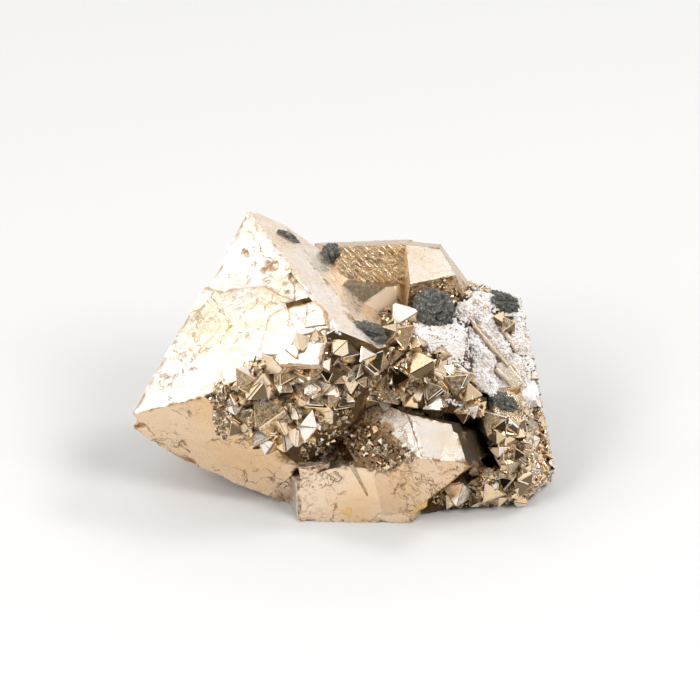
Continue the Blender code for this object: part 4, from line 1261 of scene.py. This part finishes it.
FINE_DRAW = random.Random(3)
crystals = [("crystal", form) for form in shown + near_forms + far_forms]
full_tree, face_owners = tree_of(BODIES + crystals)
# Painted shade on each small crystal's corners, by how shut in they are.
for _, form in crystals:
    form.normal_update()
    stain_and_shade_layer = form.verts.layers.float["stain_and_shade"]
    for corner in form.verts:
        corner[stain_and_shade_layer] = shut_in(full_tree, corner.co, corner.normal)
standing = [(name, form.copy()) for name, form in crystals]
fine_places = list(fine_crystals(full_tree, face_owners, FINE_DRAW))
finest = copies(sharp_octahedron(1.0), [p for p in fine_places if p[0].median_scale < BLUNTED_FROM])
larger = copies(blunted(0.9), [p for p in fine_places if p[0].median_scale >= BLUNTED_FROM])
fine_piece = place_piece("fine_crystals", joined([finest, larger]), (CLEAN,))
vary_facets(fine_piece, 4, 0.45)
vary_facets(place_piece("shown_crystals", joined(shown), (CLEAN,)), 1)
vary_facets(place_piece("druse_crystals", joined(near_forms), (CLEAN,)), 2, 0.08)
vary_facets(place_piece("far_crystals", joined(far_forms), (CLEAN,)), 3)


# ---------------------------------------------------------------- quartz crust
# White quartz in sugary grains, grown as a crust over the right shoulder.

def quartz():
    """Dull white with glistening grains and a little grey and rust, browned with painted shade where the
    grains are shut in.
    """
    finish, tree, shader = new_finish("quartz")
    place = tree.nodes.new("ShaderNodeTexCoord").outputs["Object"]
    patch = ramp(tree, noise_node(tree, place, 240.0, 6.0, 0.65), 0.35, 0.65)
    pale = colour_mix(tree, patch, (0.73, 0.71, 0.70), (0.58, 0.545, 0.515))
    rust = ramp(tree, noise_node(tree, place, 420.0, 6.0, 0.7), 0.60, 0.72, 0.0, 0.75)
    # painted brown shade where a grain is shut in by its neighbours
    low = ramp(tree, attribute(tree, "stain_and_shade"), 0.45, 1.0, 0.0, 0.5)
    pale = colour_mix(tree, low, pale, (0.44, 0.34, 0.24))
    tree.links.new(colour_mix(tree, rust, pale, (0.42, 0.29, 0.17)), shader.inputs["Base Color"])
    shader.inputs["Roughness"].default_value = 0.42
    shader.inputs["Subsurface Weight"].default_value = 0.15
    shader.inputs["Subsurface Radius"].default_value = (0.0012, 0.0010, 0.0009)
    bump(tree, shader, noise_node(tree, place, 1800.0, 5.0, 0.7), 0.0003)
    return finish


CRUST_HALF = 21.0
CRUST_THICK = 1.9      # how far the crust stands out from its plane
CRUST_ROOT = 2.0       # how far it goes down below it
CRUST_GRAIN = 0.55


def crust():
    """The crust's body: a thin slab over the shoulder with an uneven skin."""
    faces = [(CRUST_AT + CRUST_OUT * CRUST_THICK, CRUST_OUT)]
    faces += [((u, v, 0), (x, y, 0)) for (u, v), (x, y) in CRUST_EDGES]
    faces += [(CRUST_AT - CRUST_OUT * CRUST_ROOT, -CRUST_OUT)]
    bm = block(CRUST_AT, CRUST_HALF, faces)
    refine(bm, CRUST_GRAIN)
    bm.normal_update()
    for vert in bm.verts:
        lumps = noise.noise(vert.co * 0.28) * 0.9 + noise.noise(vert.co * 0.8) * 0.5
        grains = noise.voronoi(vert.co * 1.1)[0][0]
        hollow = max(0.0, noise.noise(vert.co * 0.45 + Vector((9, 0, 0))) - 0.35) * 4.0
        vert.co += vert.normal * (lumps + 0.7 * grains - hollow - 0.4)
    return bm


GRAIN_STRETCHES = [   # middle, halves, how many, reach range
    ((25.0, 2.0), (13.0, 14.0), 3600, (0.16, 0.46)),
    ((17.6, 1.8), (6.2, 4.6), 1500, (0.18, 0.5)),
    ((-1.6, 5.2), (2.4, 2.0), 150, (0.2, 0.55)),
    ((-5.2, -12.0), (1.2, 1.6), 60, (0.2, 0.45)),
    ((29.4, -8.6), (2.2, 2.4), 120, (0.2, 0.5)),
    ((21.0, -4.5), (4.5, 2.6), 160, (0.2, 0.5)),
]
GRAINS_ON = ("crust", "core", "middle", "giant")
GRAIN_SHAPE = (0.75, 0.75, 1.15)
PROUD_DEEP = 1.6       # half the depth of each plate of pyrite
PROUD_ROOT = 1.4       # how far its middle would lie below the crust's skin
PROUD_TILT = 0.35      # how far it leans over, in radians
PYRITE_PLATES = [   # middle, half length, half width, lean of the long side, how far proud
    ((27.5, 1.8), 4.0, 0.45, -52, 0.9),
    ((25.6, 4.6), 2.6, 0.45, -56, 0.6),
    ((32.6, -5.2), 3.6, 1.5, -55, 0.45),
    ((30.2, -1.4), 2.6, 0.4, -50, 1.0),
    ((30.8, -5.2), 2.2, 0.5, -44, 0.8),
    ((22.6, 1.4), 1.3, 0.7, -40, 0.7),
    ((32.6, 1.6), 2.4, 0.5, -60, 0.8),
    ((26.4, 9.2), 1.6, 0.5, -30, 0.6),
    ((33.6, -4.2), 1.8, 0.45, -58, 0.7),
]


def proud_plate(at, half_length, half_width, lean, proud):
    """An edge of pyrite that stands out of the crust."""
    bm = bmesh.new()
    bmesh.ops.create_cube(bm, size=2.0)
    sizes = Matrix.Diagonal((half_length, half_width, PROUD_DEEP, 1.0))
    turn = Matrix.Rotation(math.radians(lean), 4, "Z") @ Matrix.Rotation(PROUD_TILT, 4, "X")
    bmesh.ops.transform(bm, matrix=turn @ sizes, verts=bm.verts)
    tilt = Vector((0, 0, 1)).rotation_difference(CRUST_OUT).to_matrix().to_4x4()
    across = CRUST_OUT.x * at[0]
    level = (CRUST_AT.dot(CRUST_OUT) + CRUST_THICK - across - CRUST_OUT.y * at[1]) / CRUST_OUT.z
    middle = Vector((*at, level)) + CRUST_OUT * (proud - PROUD_ROOT)
    bmesh.ops.transform(bm, matrix=Matrix.Translation(middle) @ tilt, verts=bm.verts)
    return bm


def quartz_grains(tree, owners, draw):
    """Places, turns and sizes of single quartz grains on the crust and beside it."""
    for middle, halves, count, (least, most) in GRAIN_STRETCHES:
        for _ in range(count):
            start = Vector((*spot_in(draw, middle, halves), AWAY))
            hit, looks, face, _ = tree.ray_cast(start, TOWARDS_BODY)
            reach = draw.uniform(least, most)
            turn = any_turn(draw)
            stretch = Matrix.Diagonal((*(side * reach for side in GRAIN_SHAPE), 1.0))
            if hit is not None and owners[face] in GRAINS_ON:
                placed = Matrix.Translation(hit + looks * 0.1 * reach) @ turn @ stretch
                yield placed, shut_in(tree, hit, looks)


QUARTZ = quartz()
crust_form = crust()
crust_tree, crust_owners = tree_of([("crust", crust_form), *BODIES, *standing])
grain = bmesh.new()
bmesh.ops.create_icosphere(grain, subdivisions=1, radius=1.0)
grains = copies(grain, list(quartz_grains(crust_tree, crust_owners, random.Random(5))))
crust_piece = place_piece("quartz_crust_grains", joined([crust_form, grains]), (QUARTZ,))
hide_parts("quartz_crust")
plates = [proud_plate(*values) for values in PYRITE_PLATES]
for step, form in enumerate(plates):
    weather(form, 0.35, 0.02, 0.12, 30.0 + step, rim=0.8)
place_piece("proud_plates", joined(plates), (PALE,), 20)


# ---------------------------------------------------------------- sphalerite lumps
# Dark grey-green sphalerite in small rounded lumps, rough with tiny crystals.

def sphalerite():
    """Dark, rough and slightly resinous."""
    finish, tree, shader = new_finish("sphalerite")
    place = tree.nodes.new("ShaderNodeTexCoord").outputs["Object"]
    patch = ramp(tree, noise_node(tree, place, 1300.0, 8.0, 0.8), 0.53, 0.66)
    colour = colour_mix(tree, patch, (0.085, 0.086, 0.076), (0.48, 0.46, 0.39))
    tree.links.new(colour, shader.inputs["Base Color"])
    shader.inputs["Roughness"].default_value = 0.36
    bump(tree, shader, noise_node(tree, place, 1500.0, 5.0, 0.7), 0.0008)
    return finish


def knobbly(at, stands, radii, spin, seed):
    """A lump of sphalerite: rounded, split by a few grooves and rough with small knobs."""
    bm = bmesh.new()
    bmesh.ops.create_icosphere(bm, subdivisions=5 if max(radii) > 3.0 else 4, radius=1.0)
    for vert in bm.verts:
        spot = vert.co * 1.9 + Vector((7.3 * seed, 0, 3.1 * seed))
        swell = 0.16 * noise.noise(spot)
        groove = 0.26 * max(0.0, 1.0 - abs(noise.noise(spot * 0.60 + Vector((0, 5, 0)))) / 0.09)
        knobs = 0.10 * noise.cell(spot * 3.0) + 0.10 * (0.5 - noise.voronoi(spot * 4.0)[0][0])
        knobs += 0.09 * noise.turbulence(spot * 7.0, 2, True)
        vert.co *= 1.0 + swell + knobs - groove
    shape = Matrix.Rotation(math.radians(spin), 4, "Z") @ Matrix.Diagonal((*radii, 1.0))
    bmesh.ops.transform(bm, matrix=Matrix.Translation((*at, stands)) @ shape, verts=bm.verts)
    return bm


SPHALERITE = sphalerite()
for name, lump in LUMPS.items():
    lump_piece = place_piece(f"{name}_lump", knobbly(*lump), (SPHALERITE,), 40)
    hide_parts(name)
